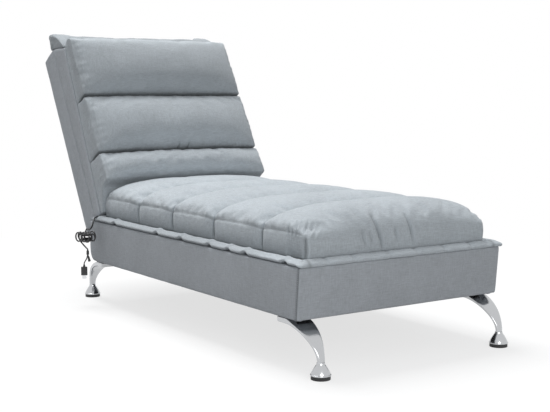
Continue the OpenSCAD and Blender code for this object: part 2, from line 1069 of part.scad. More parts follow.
module back_foam() {
  z = border_z + border_wall + gap;
  y = border_top_f + 3 * gap;
  drop = border_drop + gap;
  color(foam_c)
    difference() {
      on_back()
        difference() {
          across(2 * (back_x - border_wall - gap))
            polygon([
              [panel_f, z],
              [front_at(z) + gap, z],
              [y, top_at(y) - drop],
              [panel_f, top_at(panel_f) - drop]
            ]);
          grooves(back_wire_left);
          grooves(back_wire_right);
        }
      for (side = [-1, 1])
        at_back_motor(side) {
          cylinder(d = case_d + 2 * gap, h = case_h + gap, $fn = 48);
          cylinder(d = case_d + 2 * (rim_w + gap), h = rim_t + gap, $fn = 48);
        }
    }
}

module back_wiring() {
  color(black_c)
    on_back() {
      wire(back_wire_left, wire_d, [0, 1, 0]);
      wire(back_wire_right, wire_d, [0, 1, 0]);
    }
}

module back_motor_cases() {
  color(black_c)
    for (side = [-1, 1])
      at_back_motor(side)
        motor_case();
}

module back_motors() {
  color(steel_c)
    for (side = [-1, 1])
      at_back_motor(side)
        motor();
}

module back_weight_left() {
  color(steel_c)
    at_back_motor(-1)
      weight();
}

module back_weight_right() {
  color(steel_c)
    at_back_motor(1)
      weight();
}

// Soft pieces of the back are lofted through side views that stand across its width
station_half_shares = [0, 0.15, 0.45, 0.7, 0.85, 0.92, 0.96, 0.985, 1];
station_shares = concat(
  [for (i = [len(station_half_shares) - 1:-1:1]) -station_half_shares[i]],
  station_half_shares
);
function puff(share) = sqrt(max(0, 1 - pow(abs(share), 8)));
function standing(x, p) = [for (q = p) [x, q[0], q[1]]];
function to_back(y, z) = [
  (y - pivot_y) * cos(lean) - (z - pivot_z) * sin(lean),
  (y - pivot_y) * sin(lean) + (z - pivot_z) * cos(lean)
];

// Raised corners and rolled upper edge of the topper, over the border's sloping top
function flap_ring(share) =
  let (
    out = max(0, (abs(share) * back_x - back_x + ear_in) / ear_in),
    f = pow(out, 1.5),
    y = mix(slab_f - flap_lean, slab_f + flap_edge, f),
    z = back_top_z + mix(flap_top, ear_top, f),
    foot = [border_top_f, border_top_z + soft_gap],
    tail = [slab_f + 3 * flap_edge, back_top_z + soft_gap]
  )
    [
      foot,
      mix(foot, [y, z], 0.5) - [0.3 * flap_edge, 0],
      [y - flap_edge / 2, z - flap_edge / 4],
      [y, z],
      [y + flap_edge / 2, z - flap_edge / 4],
      mix(tail, [y, z], 0.5) - [0.4 * flap_edge, flap_edge],
      tail,
      [border_f, back_top_z + soft_gap]
    ];

module back_top_flap() {
  color(fabric_c)
    on_back()
      loft([for (share = station_shares) standing(share * back_x, flap_ring(share))]);
}

function pillow_front(za, zb, rise) = bez_points([
  [crease_f, za],
  [crease_f - 1.3 * rise, za],
  [crease_f - 1.3 * rise, mix(zb, za, 0.2)],
  [crease_f, zb]
], 14);

function middle_ring(share) =
  let (za = crease_z[0] + soft_gap / 2, zb = crease_z[1] - soft_gap / 2)
    concat(
      [[front_at(za) - soft_gap, za]],
      pillow_front(za, zb, pillow_rise * puff(share)),
      [[front_at(zb) - soft_gap, zb]]
    );

function top_ring(share) =
  let (
    za = crease_z[1] + soft_gap / 2,
    rise = pillow_rise * puff(share),
    lip = [crease_f - 0.3 * rise, pillow_top_z - pillow_lip],
    front = bez_points([
      [crease_f, za],
      [crease_f - 1.25 * rise, za],
      [crease_f - 1.1 * rise, mix(za, pillow_top_z, 0.75)],
      lip
    ], 12),
    top = bez_points([
      lip,
      [mix(crease_f, border_top_f, 0.15), pillow_top_z],
      [mix(crease_f, border_top_f, 0.5), pillow_top_z + pillow_over],
      [border_top_f - gap, border_top_z + pillow_over]
    ], 6)
  )
    concat([[front_at(za) - soft_gap, za]], front, [for (i = [1:6]) top[i]]);

function lower_ring(share) =
  let (
    zb = crease_z[0] - soft_gap / 2,
    rise = pillow_rise * puff(share),
    rest = to_back(seat_rear_y - under_in, seat_top_z + gap)
  )
    concat(
      [
        [front_at(border_z + soft_gap) - soft_gap, border_z + soft_gap],
        to_back(seat_rear_y + under_gap, flange_z + flange_t + under_rise),
        to_back(seat_rear_y + under_gap, seat_top_z - under_drop)
      ],
      bez_points([
        rest,
        rest - [0.9 * rise, 0],
        [crease_f - 1.25 * rise, mix(zb, rest[1], 0.3)],
        [crease_f, zb]
      ], 12),
      [[front_at(zb) - soft_gap, zb]]
    );

module back_pillow_top() {
  color(fabric_c)
    on_back()
      loft([for (share = station_shares) standing(share * back_x, top_ring(share))]);
}

module back_pillow_middle() {
  color(fabric_c)
    on_back()
      loft([for (share = station_shares) standing(share * back_x, middle_ring(share))]);
}

module back_pillow_lower() {
  color(fabric_c)
    on_back()
      loft([for (share = station_shares) standing(share * back_x, lower_ring(share))]);
}

module cord_gland() {
  color(black_c)
    translate([-gland_x, gland_y, lead_z])
      rotate([0, 90, 0])
        cylinder(d = gland_d, h = gland_l, $fn = 32);
}

// Centre line of the hank: a runs along it, b up, c from loop to loop; m counts rings in a loop
function hank_flat(m) =
  m < 9 ? [fold_a, 0] + hank_r * turn_dir(mix(-fold_end, fold_end, m / 9)) :
  m < 12 ? [0, hank_waist + waist_r] + waist_r * turn_dir(mix(fold_end - 180, -fold_end, (m - 9) / 3)) :
  m < 21 ? [-fold_a, 0] + hank_r * turn_dir(mix(180 - fold_end, 180 + fold_end, (m - 12) / 9)) :
  [0, -hank_waist - waist_r] + waist_r * turn_dir(mix(fold_end, 180 - fold_end, (m - 21) / 3));
function turn_dir(a) = [cos(a), sin(a)];
function eased(f) = f * f * (3 - 2 * f);
function hank_point(k) =
  let (
    turn = floor((k - hank_first) / hank_rings),
    m = k - turn * hank_rings,
    f = eased(min(1, max(0, (m - 20) / 5))),
    p = hank_flat(m % hank_rings)
  )
    [p[0], p[1], hank_step * (hank_loops / 2 - turn - f)];
function in_world(p) = hank_at + [
  p[0] * cos(hank_turn) - p[2] * sin(hank_turn),
  p[0] * sin(hank_turn) + p[2] * cos(hank_turn),
  p[1]
];
hank_end = hank_last + hank_rings * hank_loops;
function fold_turn(m) = mix(180 - fold_end, 180 + fold_end, (m - 12) / 9);
in_turn = fold_turn(hank_first);
out_turn = fold_turn(hank_last);
in_dir = [-sin(in_turn), cos(in_turn), 0];
out_dir = [-sin(out_turn), cos(out_turn), 0];
hank_path = [
  in_world(hank_point(hank_first) - hank_stub * in_dir),
  in_world(hank_point(hank_first) - cord_d * in_dir),
  for (k = [hank_first:hank_end]) in_world(hank_point(k)),
  in_world(hank_point(hank_end) + cord_d * out_dir),
  in_world(hank_point(hank_end) + hank_stub * out_dir)
];
function along(a, b, p) = max(0, min(1, ((p - a) * (b - a)) / ((b - a) * (b - a))));
hank_least = min([
  for (i = [0:len(hank_path) - 8])
    for (j = [i + 6:len(hank_path) - 2])
      let (a = hank_path[j], b = hank_path[j + 1])
        norm(hank_path[i] - a - (b - a) * along(a, b, hank_path[i]))
]);
echo(str("Least gap of the hank to itself: ", hank_least - cord_d));

module cord_hank() {
  color(black_c)
    tube(hank_path, cord_d, 6, [-sin(hank_turn), cos(hank_turn), 0.001]);
}

module hank_tie() {
  b = hank_waist + cord_d / 2 + tie_gap;
  c = hank_step * hank_loops / 2 + cord_d / 2 + tie_gap;
  color(black_c)
    translate(hank_at)
      rotate([0, 0, hank_turn])
        difference() {
          cube([tie_w, 2 * (c + tie_t), 2 * (b + tie_t)], center = true);
          cube([tie_w + 2 * over, 2 * c, 2 * b], center = true);
        }
}

// The free stretches end square to the hank's ends and to the splitter
module cord_lead() {
  end = hank_path[0];
  end_dir = unit(hank_path[1] - end);
  start = hank_path[len(hank_path) - 1];
  start_dir = unit(start - hank_path[len(hank_path) - 2]);
  color(black_c) {
    tube(concat(
      [[-gland_x, gland_y, lead_z]],
      smooth(lead_route, 2),
      [end - cord_d * end_dir, end]
    ), cord_d, 8, [0.2, 0.1, 1]);
    tube(concat(
      [start, start + cord_d * start_dir],
      smooth(tail_route, 2),
      [splitter_at + [0, 0, cord_d], splitter_at]
    ), cord_d, 8, [1, 0.3, 0.1]);
  }
}

module cord_splitter() {
  color(black_c)
    translate(splitter_at)
      mirror([0, 0, 1])
        cylinder(d1 = splitter_d - cord_d / 4, d2 = splitter_d, h = splitter_l, $fn = 32);
}

socket_at = splitter_at + [0, -splitter_in, -splitter_l];
socket_dir = [0, -sin(socket_tilt), -cos(socket_tilt)];

module cord_branches() {
  start = splitter_at + [0, splitter_in, -splitter_l];
  color(black_c) {
    tube(concat(
      [start, start - [0, 0, lead_d]],
      smooth(usb_route, 2),
      [usb_at + [0, 0, relief_l + lead_d], usb_at + [0, 0, relief_l]]
    ), lead_d, 8, [1, 0, 0.1]);
    tube([
      socket_at,
      socket_at - [0, 0, socket_lead_l / 2],
      socket_at - [0, 0, socket_lead_l / 2] + socket_lead_l * socket_dir / 2,
      socket_at - [0, 0, socket_lead_l / 2] + socket_lead_l * socket_dir
    ], lead_d, 8, [1, 0, 0.1]);
  }
}

module usb_plug() {
  color(black_c)
    translate(usb_at)
      rotate([0, 0, usb_turn]) {
        cylinder(d1 = usb_t - relief_wall, d2 = lead_d + relief_wall, h = relief_l, $fn = 32);
        difference() {
          mirror([0, 0, 1])
            linear_extrude(usb_l)
              polygon(concat(
                arc_points([usb_w / 2 - usb_r, usb_t / 2 - usb_r], usb_r, 0, 90, 6),
                arc_points([usb_r - usb_w / 2, usb_t / 2 - usb_r], usb_r, 90, 180, 6),
                arc_points([usb_r - usb_w / 2, usb_r - usb_t / 2], usb_r, 180, 270, 6),
                arc_points([usb_w / 2 - usb_r, usb_r - usb_t / 2], usb_r, 270, 360, 6)
              ));
          translate([-shell_w / 2, -shell_t / 2, -usb_l - over])
            cube([shell_w, shell_t, shell_root + over]);
        }
        translate([shell_wall - shell_w / 2, 0, -usb_l - shell_l + shell_wall])
          cube([shell_w - 2 * shell_wall, shell_t / 2 - shell_wall, shell_l + shell_root]);
      }
}

module usb_shell() {
  l = shell_l + shell_root;
  color(chrome_c)
    translate(usb_at)
      rotate([0, 0, usb_turn])
        translate([0, 0, -usb_l - shell_l + l / 2])
          difference() {
            cube([shell_w, shell_t, l], center = true);
            cube([shell_w - 2 * shell_wall, shell_t - 2 * shell_wall, l + 2 * over], center = true);
          }
}

module round_socket() {
  bore_l = 0.6 * socket_l;
  color(black_c)
    translate(socket_at - [0, 0, socket_lead_l / 2] + socket_lead_l * socket_dir)
      rotate([180 - socket_tilt, 0, 0]) {
        difference() {
          cylinder(d1 = lead_d + 2 * relief_wall, d2 = socket_d, h = socket_l, $fn = 32);
          translate([0, 0, socket_l - bore_l])
            cylinder(d = socket_bore_d, h = bore_l + over, $fn = 32);
        }
        cylinder(d = socket_pin_d, h = socket_l - relief_wall, $fn = 24);
      }
}

base_side_left();
base_side_right();
base_front_rail();
base_rear_rail();
base_cross_rails();
seat_deck();
base_cover();
dust_cover();
leg_blocks();
leg_front_left();
leg_front_right();
leg_rear_left();
leg_rear_right();
foot_front_left();
foot_front_right();
foot_rear_left();
foot_rear_right();
foot_pads();
leg_screws();
base_foam();
seat_flange();
seat_cushion();
hinge_plate_left();
hinge_plate_right();
hinge_pins();
plate_screws();
seat_motor_cases();
seat_motors();
seat_weight_left();
seat_weight_right();
control_box();
seat_wiring();
back_stile_left();
back_stile_right();
back_rails();
back_panel();
back_cover();
back_foam();
back_border();
back_top_flap();
back_pillow_top();
back_pillow_middle();
back_pillow_lower();
hinge_arm_left();
hinge_arm_right();
arm_screws();
back_motor_cases();
back_motors();
back_weight_left();
back_weight_right();
back_wiring();
cord_gland();
cord_lead();
cord_hank();
hank_tie();
cord_splitter();
cord_branches();
usb_plug();
usb_shell();
round_socket();
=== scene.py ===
# %% [markdown]
# # A massage lounge chair
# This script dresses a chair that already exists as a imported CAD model. The model's frame gives
# every piece its place, so nothing here is fitted by eye to another object: a soft piece is built
# where its plain CAD solid lies, swells a little, and then replaces it. All lengths are in metres.

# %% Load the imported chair
import math

import bmesh
import bpy
import numpy as np
from mathutils import Matrix, Vector


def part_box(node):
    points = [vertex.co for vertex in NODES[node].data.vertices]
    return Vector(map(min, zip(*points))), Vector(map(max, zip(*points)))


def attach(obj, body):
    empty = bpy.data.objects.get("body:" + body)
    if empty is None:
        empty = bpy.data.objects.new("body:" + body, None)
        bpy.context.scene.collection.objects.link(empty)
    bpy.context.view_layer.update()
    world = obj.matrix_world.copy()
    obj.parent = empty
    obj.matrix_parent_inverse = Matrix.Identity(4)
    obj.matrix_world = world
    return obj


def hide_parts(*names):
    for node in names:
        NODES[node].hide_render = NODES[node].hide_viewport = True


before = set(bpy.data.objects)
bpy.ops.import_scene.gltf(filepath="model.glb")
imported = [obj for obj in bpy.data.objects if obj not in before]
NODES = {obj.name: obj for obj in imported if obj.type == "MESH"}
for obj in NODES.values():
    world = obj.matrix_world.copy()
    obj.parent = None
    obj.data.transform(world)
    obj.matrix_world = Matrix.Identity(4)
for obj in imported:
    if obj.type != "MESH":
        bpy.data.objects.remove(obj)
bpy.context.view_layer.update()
SCENE = bpy.context.scene
SCENE.view_settings.view_transform = "Standard"

# %% [markdown]
# ## The camera
# The photograph is 550 pixels wide and was matched by a focal length of 1081.5 of those pixels.
# Blender wants that as a lens on a 36 mm sensor. The camera stands left of the foot end, looks 34
# degrees to the right and 6 degrees down, and keeps the picture's middle in the middle.

# %% Camera
PHOTO_WIDTH = 550
FOCAL_PIXELS = 1081.5
camera_data = bpy.data.cameras.new("photo_camera")
camera_data.sensor_width = 36.0
camera_data.lens = FOCAL_PIXELS * camera_data.sensor_width / PHOTO_WIDTH
camera = bpy.data.objects.new("photo_camera", camera_data)
camera.location = (-1.620, -2.5172, 0.6094)
camera.rotation_euler = (math.radians(90 - 6.024), 0, math.radians(-34.339))
SCENE.collection.objects.link(camera)
SCENE.camera = camera
print("lens", round(camera_data.lens, 2), "mm")

# %% [markdown]
# ## Small helpers
# Most soft pieces here are lofts: rings of points, one after another, joined by a skin. Building
# the mesh this way keeps rows and columns in order, so seams can be found again by their row
# after a cloth simulation has moved every point. One helper hands a finished piece over: it is
# shaded smoothly and given its finish and its body, and the CAD node that it stands for is hidden.

# %% Mesh helpers
def new_object(name, points, faces):
    mesh = bpy.data.meshes.new(name)
    mesh.from_pydata([tuple(p) for p in points], [], faces)
    mesh.update()
    made = bpy.data.objects.new(name, mesh)
    SCENE.collection.objects.link(made)
    return made


def outward(obj):
    """Merges doubles and turns all faces outwards."""
    work = bmesh.new()
    work.from_mesh(obj.data)
    bmesh.ops.remove_doubles(work, verts=work.verts, dist=1e-6)
    bmesh.ops.recalc_face_normals(work, faces=work.faces)
    work.to_mesh(obj.data)
    work.free()
    return obj


def skin_faces(rows, columns, closed=True):
    """Quads between rows of columns; closed joins a row's last point to its first."""
    faces = []
    for i in range(rows - 1):
        for j in range(columns if closed else columns - 1):
            k = (j + 1) % columns
            faces.append((i * columns + j, i * columns + k, (i + 1) * columns + k, (i + 1) * columns + j))
    return faces


def capped_faces(rows, columns):
    """Closed skin faces and a fan at each end, to two more points after those of the rows."""
    faces = skin_faces(rows, columns)
    pole, last = rows * columns, (rows - 1) * columns
    faces += [(pole, (k + 1) % columns, k) for k in range(columns)]
    faces += [(pole + 1, last + k, last + (k + 1) % columns) for k in range(columns)]
    return faces


def ring_loft(name, rows, closed=False):
    """Joins rows that go round a loop; closed also joins each row's last point to its first."""
    faces = skin_faces(len(rows) + 1, len(rows[0]), closed)
    return outward(new_object(name, np.concatenate(rows + rows[:1]), faces))


def coordinates(obj):
    out = np.empty(len(obj.data.vertices) * 3)
    obj.data.vertices.foreach_get("co", out)
    return out.reshape(-1, 3)


def set_coordinates(obj, points):
    obj.data.vertices.foreach_set("co", np.ascontiguousarray(points).ravel())
    obj.data.update()


def smooth_shading(obj, sharp_from=None):
    """Shades smoothly, apart from edges that turn by more than the given degrees."""
    obj.data.polygons.foreach_set("use_smooth", [True] * len(obj.data.polygons))
    if sharp_from:
        obj.data.set_sharp_from_angle(angle=math.radians(sharp_from))
    return obj


def apply_modifiers(obj):
    """Bakes the live modifiers into the mesh and removes them."""
    graph = bpy.context.evaluated_depsgraph_get()
    baked = bpy.data.meshes.new_from_object(obj.evaluated_get(graph))
    obj.modifiers.clear()
    obj.data = baked
    return obj


def subdivide(obj, levels=1):
    mod = obj.modifiers.new("subdivision", "SUBSURF")
    mod.levels = levels
    mod.render_levels = levels
    return apply_modifiers(obj)


def thicken(obj, thickness, offset=-1):
    """Gives one layer of cloth a wall, which lies inside for an offset of -1 and half inside for 0."""
    wall = obj.modifiers.new("wall", "SOLIDIFY")
    wall.thickness = thickness
    wall.offset = offset
    wall.use_even_offset = False
    return apply_modifiers(obj)


def hand_over(piece, finish, node, body, sharp_from=None):
    smooth_shading(piece, sharp_from)
    piece.data.materials.append(finish)
    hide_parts(node)
    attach(piece, body)


def eased(f):
    f = np.clip(f, 0.0, 1.0)
    return f * f * (3 - 2 * f)


def mix(a, b, f):
    return a + (b - a) * f


def noise_wave(points, scale, seed, octaves=3):
    """Soft repeatable noise between about -1 and 1, from a few sine waves in random directions."""
    rng = np.random.default_rng(seed)
    total = np.zeros(len(points))
    for octave in range(octaves):
        for _ in range(5):
            direction = rng.normal(size=3)
            direction *= 2 ** octave / (scale * np.linalg.norm(direction))
            total += np.sin(points @ direction * 2 * math.pi + rng.uniform(0, 6.28)) / (5 * 1.6 ** octave)
    return total


# %% [markdown]
# ## The lead
# A thin lead leaves a gland behind the seat cushion, runs along the padded border, drops over its
# edge and goes into a hank that is tied in the middle. Below the hank it splits in two. The
# route's given points follow those of the CAD model; between them runs a Catmull-Rom curve. The
# hank's loops come from circle arcs, so that each has two round folds and a waist, and no two
# loops have the same size or slant, as in a lead wound by hand.

# %% Route of the lead
CORD_D = 0.0042
LEAD_D = 0.0034
GLAND_EXIT = (-0.262, 0.3455, 0.2518)
LEAD_ROUTE = [
    (-0.268, 0.3455, 0.2518), (-0.276, 0.344, 0.2515), (-0.288, 0.339, 0.251), (-0.299, 0.330, 0.251),
    (-0.308, 0.319, 0.250), (-0.316, 0.308, 0.247), (-0.322, 0.301, 0.240), (-0.326, 0.299, 0.231),
    (-0.328, 0.304, 0.223), (-0.329, 0.313, 0.219)
]
TAIL_ROUTE = [(-0.353, 0.308, 0.180), (-0.347, 0.302, 0.171)]
SPLITTER = Vector((-0.341, 0.300, 0.160))
SPLITTER_LENGTH = 0.011
SPLITTER_OFFSET = 0.0022
USB_ROUTE = [(-0.341, 0.303, 0.144), (-0.341, 0.308, 0.136), (-0.341, 0.318, 0.128), (-0.341, 0.325, 0.121)]
USB_AT = Vector((-0.341, 0.326, 0.110))
RELIEF_LENGTH = 0.007
SOCKET_TILT = math.radians(28)
SOCKET_LEAD = 0.004

HANK_AT = Vector((-0.340, 0.307, 0.199))
HANK_TURN = math.radians(-77.6)
HANK_LOOPS = 6
HANK_HALF = 0.030
FOLD_R = 0.012
WAIST = 0.004
HANK_STEP = CORD_D + 0.0008
HANK_STUB = 0.016
TAIL_STUB = 0.004
FOLD_RINGS, WAIST_RINGS = 9, 3
RINGS_A_LOOP = 2 * (FOLD_RINGS + WAIST_RINGS)
FIRST_RING, LAST_RING = 15, 20
CLIMB_RINGS = 5
LOOP_SIZES = [1.08, 0.84, 1.12, 0.76, 1.0, 0.88, 1.04]
LOOP_TURNS = [5, -6, 9, -3, 7, -8, 2]
FOLD_A = HANK_HALF - FOLD_R
WAIST_R = (FOLD_A ** 2 + WAIST ** 2 - FOLD_R ** 2) / (2 * (FOLD_R - WAIST))
FOLD_END = math.atan2(WAIST + WAIST_R, -FOLD_A)


def polar(angle):
    return Vector((math.cos(angle), math.sin(angle)))


def hank_flat(m):
    """One loop of the hank seen from its side: fold, waist, fold and waist, for m up to RINGS_A_LOOP."""
    half = FOLD_RINGS + WAIST_RINGS
    if m < FOLD_RINGS:
        return Vector((FOLD_A, 0)) + FOLD_R * polar(mix(-FOLD_END, FOLD_END, m / FOLD_RINGS))
    if m < half:
        share = (m - FOLD_RINGS) / WAIST_RINGS
        return Vector((0, WAIST + WAIST_R)) + WAIST_R * polar(mix(FOLD_END - math.pi, -FOLD_END, share))
    if m < half + FOLD_RINGS:
        share = (m - half) / FOLD_RINGS
        return Vector((-FOLD_A, 0)) + FOLD_R * polar(mix(math.pi - FOLD_END, math.pi + FOLD_END, share))
    share = (m - (half + FOLD_RINGS)) / WAIST_RINGS
    return Vector((0, -WAIST - WAIST_R)) + WAIST_R * polar(mix(FOLD_END, math.pi - FOLD_END, share))


def hank_point(k):
    """A point of the whole hank, where k counts rings; it climbs to the next loop within CLIMB_RINGS."""
    turn = math.floor((k - FIRST_RING) / RINGS_A_LOOP)
    m = k - turn * RINGS_A_LOOP
    climbed = turn + float(eased((m - LAST_RING) / CLIMB_RINGS))
    loops = range(len(LOOP_SIZES))
    size = float(np.interp(climbed, loops, LOOP_SIZES))
    turned = math.radians(float(np.interp(climbed, loops, LOOP_TURNS)))
    flat = size * (Matrix.Rotation(turned, 2) @ hank_flat(m % RINGS_A_LOOP))
    across = HANK_STEP * (HANK_LOOPS / 2 - climbed)
    c, s = math.cos(HANK_TURN), math.sin(HANK_TURN)
    return HANK_AT + Vector((flat.x * c - across * s, flat.x * s + across * c, flat.y))


def catmull(points, pieces):
    """Points of a Catmull-Rom curve through the given ones."""
    out = []
    for i in range(len(points) - 1):
        a, b, c, d = (Vector(points[min(max(i + k, 0), len(points) - 1)]) for k in (-1, 0, 1, 2))
        for j in range(pieces):
            f = j / pieces
            out.append((2 * b + (c - a) * f + (2 * a - 5 * b + 4 * c - d) * f * f
                        + (3 * b - a - 3 * c + d) * f ** 3) / 2)
    out.append(Vector(points[-1]))
    return out


PER_RING = 3
ROUTE_PIECES = 3
hank_count = (LAST_RING - FIRST_RING + RINGS_A_LOOP * HANK_LOOPS) * PER_RING + 1
hank = [hank_point(FIRST_RING + i / PER_RING) for i in range(hank_count)]
entry = hank[0] + HANK_STUB * (hank[0] - hank[1]).normalized()
leaving = hank[-1] + TAIL_STUB * (hank[-1] - hank[-2]).normalized()
way_down = [tuple(leaving)] + TAIL_ROUTE + [tuple(SPLITTER + Vector((0, 0, CORD_D)))]
lead_points = [Vector(GLAND_EXIT)] + catmull(LEAD_ROUTE + [tuple(entry)], ROUTE_PIECES) + hank \
    + catmull(way_down, ROUTE_PIECES) + [SPLITTER.copy()]
usb_points = [SPLITTER + Vector((0, SPLITTER_OFFSET, -SPLITTER_LENGTH)),
              SPLITTER + Vector((0, SPLITTER_OFFSET, -SPLITTER_LENGTH - LEAD_D))] \
    + catmull(USB_ROUTE + [tuple(USB_AT + Vector((0, 0, RELIEF_LENGTH + LEAD_D)))], ROUTE_PIECES) \
    + [USB_AT + Vector((0, 0, RELIEF_LENGTH))]
socket_way = Vector((0, -math.sin(SOCKET_TILT), -math.cos(SOCKET_TILT)))
socket_start = SPLITTER + Vector((0, -SPLITTER_OFFSET, -SPLITTER_LENGTH))
socket_knee = socket_start - Vector((0, 0, SOCKET_LEAD / 2))
socket_points = [socket_start, socket_knee, socket_knee + socket_way * SOCKET_LEAD / 2,
                 socket_knee + socket_way * SOCKET_LEAD]


def path_length(points):
    return sum((b - a).length for a, b in zip(points, points[1:]))


def tube(name, points, diameter, sides=10):
    """A mesh tube along points, its rings turned from one to the next without twist."""
    rings = []
    way = (points[1] - points[0]).normalized()
    side = way.orthogonal().normalized()
    for i, p in enumerate(points):
        new_way = (points[min(i + 1, len(points) - 1)] - points[max(i - 1, 0)]).normalized()
        side = (way.rotation_difference(new_way) @ side).normalized()
        way = new_way
        other = way.cross(side)
        for k in range(sides):
            a = 2 * math.pi * k / sides
            rings.append(p + diameter / 2 * (math.cos(a) * side + math.sin(a) * other))
    faces = skin_faces(len(points), sides)
    faces.append(tuple(range(sides)))
    faces.append(tuple(range(len(rings) - sides, len(rings)))[::-1])
    return smooth_shading(outward(new_object(name, rings, faces)))


lead = tube("lead", lead_points, CORD_D)
usb_lead = tube("usb_lead", usb_points, LEAD_D, sides=8)
socket_lead = tube("socket_lead", socket_points, LEAD_D, sides=8)
print("lead", round(path_length(lead_points), 3), "m, usb branch", round(path_length(usb_points), 3), "m")

# %% [markdown]
# ## Floor and light
# The chair stands in a pale studio. The floor curves up into a backdrop far behind the chair. A
# large lamp hangs over it and a weaker one stands near the camera, so that upward faces are
# the lightest and the base is darker, as in the photograph. The white of the background is only
# seen by the camera, by mirrors and through glass, so it adds no light to the chair.

# %% Floor, backdrop and lamps
FLOOR_HALF = 6.0
BACKDROP_R = 1.6
CAMERA_TURN = math.radians(-34.3)
backdrop_rows = [(-FLOOR_HALF, 0.0)] + [
    (FLOOR_HALF + BACKDROP_R * math.sin(a), BACKDROP_R * (1 - math.cos(a)))
    for a in np.linspace(0, math.pi / 2, 13)
] + [(FLOOR_HALF + BACKDROP_R, FLOOR_HALF)]
floor_points = [(x, y, z) for y, z in backdrop_rows for x in (-FLOOR_HALF, FLOOR_HALF)]
floor = new_object("studio_floor", floor_points, skin_faces(len(backdrop_rows), 2, closed=False))
floor.data.transform(Matrix.Rotation(CAMERA_TURN, 4, "Z"))
smooth_shading(floor)


def area_lamp(name, place, aim, size, power):
    data = bpy.data.lights.new(name, "AREA")
    data.shape = "DISK"
    data.size = size
    data.energy = power
    lamp = bpy.data.objects.new(name, data)
    lamp.location = place
    lamp.rotation_euler = (Vector(aim) - Vector(place)).to_track_quat("-Z", "Y").to_euler()
    SCENE.collection.objects.link(lamp)
    return lamp


overhead = area_lamp("overhead_lamp", place=(-0.1, 1.8, 4.3), aim=(0, 0, 0.3), size=2.8, power=218)
side_fill = area_lamp("side_lamp", place=(-1.1, -2.7, 0.9), aim=(0, -0.6, 0.2), size=1.2, power=18.5)
print("lamps:", [(lamp.name, lamp.data.energy) for lamp in (overhead, side_fill)])

# %% [markdown]
# ## Node helpers
# Every finish is a small node tree. These helpers add a node with its inputs in one line: a value
# that is itself a socket is linked, and any other value is written into the socket.

# %% Helpers for node trees
def add_node(tree, kind, inputs=None, **settings):
    node = tree.nodes.new(kind)
    for key, value in settings.items():
        setattr(node, key, value)
    for key, value in (inputs or {}).items():
        if isinstance(value, bpy.types.NodeSocket):
            tree.links.new(value, node.inputs[key])
        else:
            node.inputs[key].default_value = value
    return node


def maths(tree, operation, *values):
    return add_node(tree, "ShaderNodeMath", dict(enumerate(values)), operation=operation).outputs[0]


def vector_maths(tree, operation, *values):
    node = add_node(tree, "ShaderNodeVectorMath", dict(enumerate(values)), operation=operation)
    return node.outputs["Value" if operation in ("DOT_PRODUCT", "LENGTH") else "Vector"]


def noise(tree, position, detail=2.0, roughness=0.5, scale=1.0):
    wanted = {"Vector": position, "Scale": scale, "Detail": detail, "Roughness": roughness}
    return add_node(tree, "ShaderNodeTexNoise", wanted).outputs["Fac"]


def centred_noise(tree, position, **settings):
    """Noise from about -0.5 to 0.5."""
    return maths(tree, "SUBTRACT", noise(tree, position, **settings), 0.5)


def new_group(name, inputs, outputs):
    """A shader group with named sockets: each input is (name, kind, first value)."""
    tree = bpy.data.node_groups.new(name, "ShaderNodeTree")
    for label, kind, value in inputs:
        socket = tree.interface.new_socket(label, in_out="INPUT", socket_type="NodeSocket" + kind)
        if kind == "Float":
            socket.default_value = value
    for label in outputs:
        tree.interface.new_socket(label, in_out="OUTPUT", socket_type="NodeSocketFloat")
    return tree, tree.nodes.new("NodeGroupInput").outputs, tree.nodes.new("NodeGroupOutput").inputs


def axis_vector(tree, position, x, y, z):
    """Position with its axes stretched by three numbers or sockets."""
    scale = add_node(tree, "ShaderNodeCombineXYZ", {"X": x, "Y": y, "Z": z}).outputs[0]
    return vector_maths(tree, "MULTIPLY", position, scale)


# %% [markdown]
# ## Effects that several finishes share
# **Woven cloth**: the chair's cover is a plain weave of uneven yarn, so here and there a thread is
# thicker, which shows as short light and dark streaks along both thread directions. A solid noise
# stretched along one axis gives such streaks on every face that isn't square to that axis, so one
# group covers tops, sides and fronts with no seam and no UV map. The weave itself is a product of
# two sines on each face.
#
# **Fine grain** is the small even bump of moulded plastic, rubber and foam. **Handling** is the
# slow variation that dust, fingers and rubbing leave. **Wood grain** bends a set of long rings.

# %% Shader groups
CLOUD_SHADE, WEAVE_SHADE = 0.45, 0.16
WEAVE_HEIGHT, SLUB_HEIGHT = 0.35, 0.9
cloth_group, given, result = new_group(
    "woven_cloth",
    [("Position", "Vector", 0), ("Facing", "Vector", 0), ("Pitch", "Float", 0.0014),
     ("Slub Length", "Float", 0.02), ("Slub Width", "Float", 0.0017), ("Contrast", "Float", 0.1)],
    ["Shade", "Height"],
)
t = cloth_group
squared = vector_maths(t, "MULTIPLY", given["Facing"], given["Facing"])
facing = add_node(t, "ShaderNodeSeparateXYZ", {0: squared}).outputs
turns = maths(t, "DIVIDE", 2 * math.pi, given["Pitch"])
place = add_node(t, "ShaderNodeSeparateXYZ", {0: axis_vector(t, given["Position"], turns, turns, turns)}).outputs
waves = [maths(t, "SINE", place[i]) for i in range(3)]
long_way = maths(t, "DIVIDE", 1.0, given["Slub Length"])
short_way = maths(t, "DIVIDE", 1.0, given["Slub Width"])
weave = None
streaks = None
for i in range(3):
    pair = maths(t, "MULTIPLY", maths(t, "MULTIPLY", waves[(i + 1) % 3], waves[(i + 2) % 3]), facing[i])
    weave = pair if weave is None else maths(t, "ADD", weave, pair)
    ways = [long_way if k == i else short_way for k in range(3)]
    streak = centred_noise(t, axis_vector(t, given["Position"], *ways), detail=2.0, roughness=0.6)
    streak = maths(t, "MULTIPLY", streak, maths(t, "SUBTRACT", 1.0, facing[i]))
    streaks = streak if streaks is None else maths(t, "ADD", streaks, streak)
clouds = centred_noise(t, given["Position"], detail=3.0, roughness=0.55, scale=9.0)
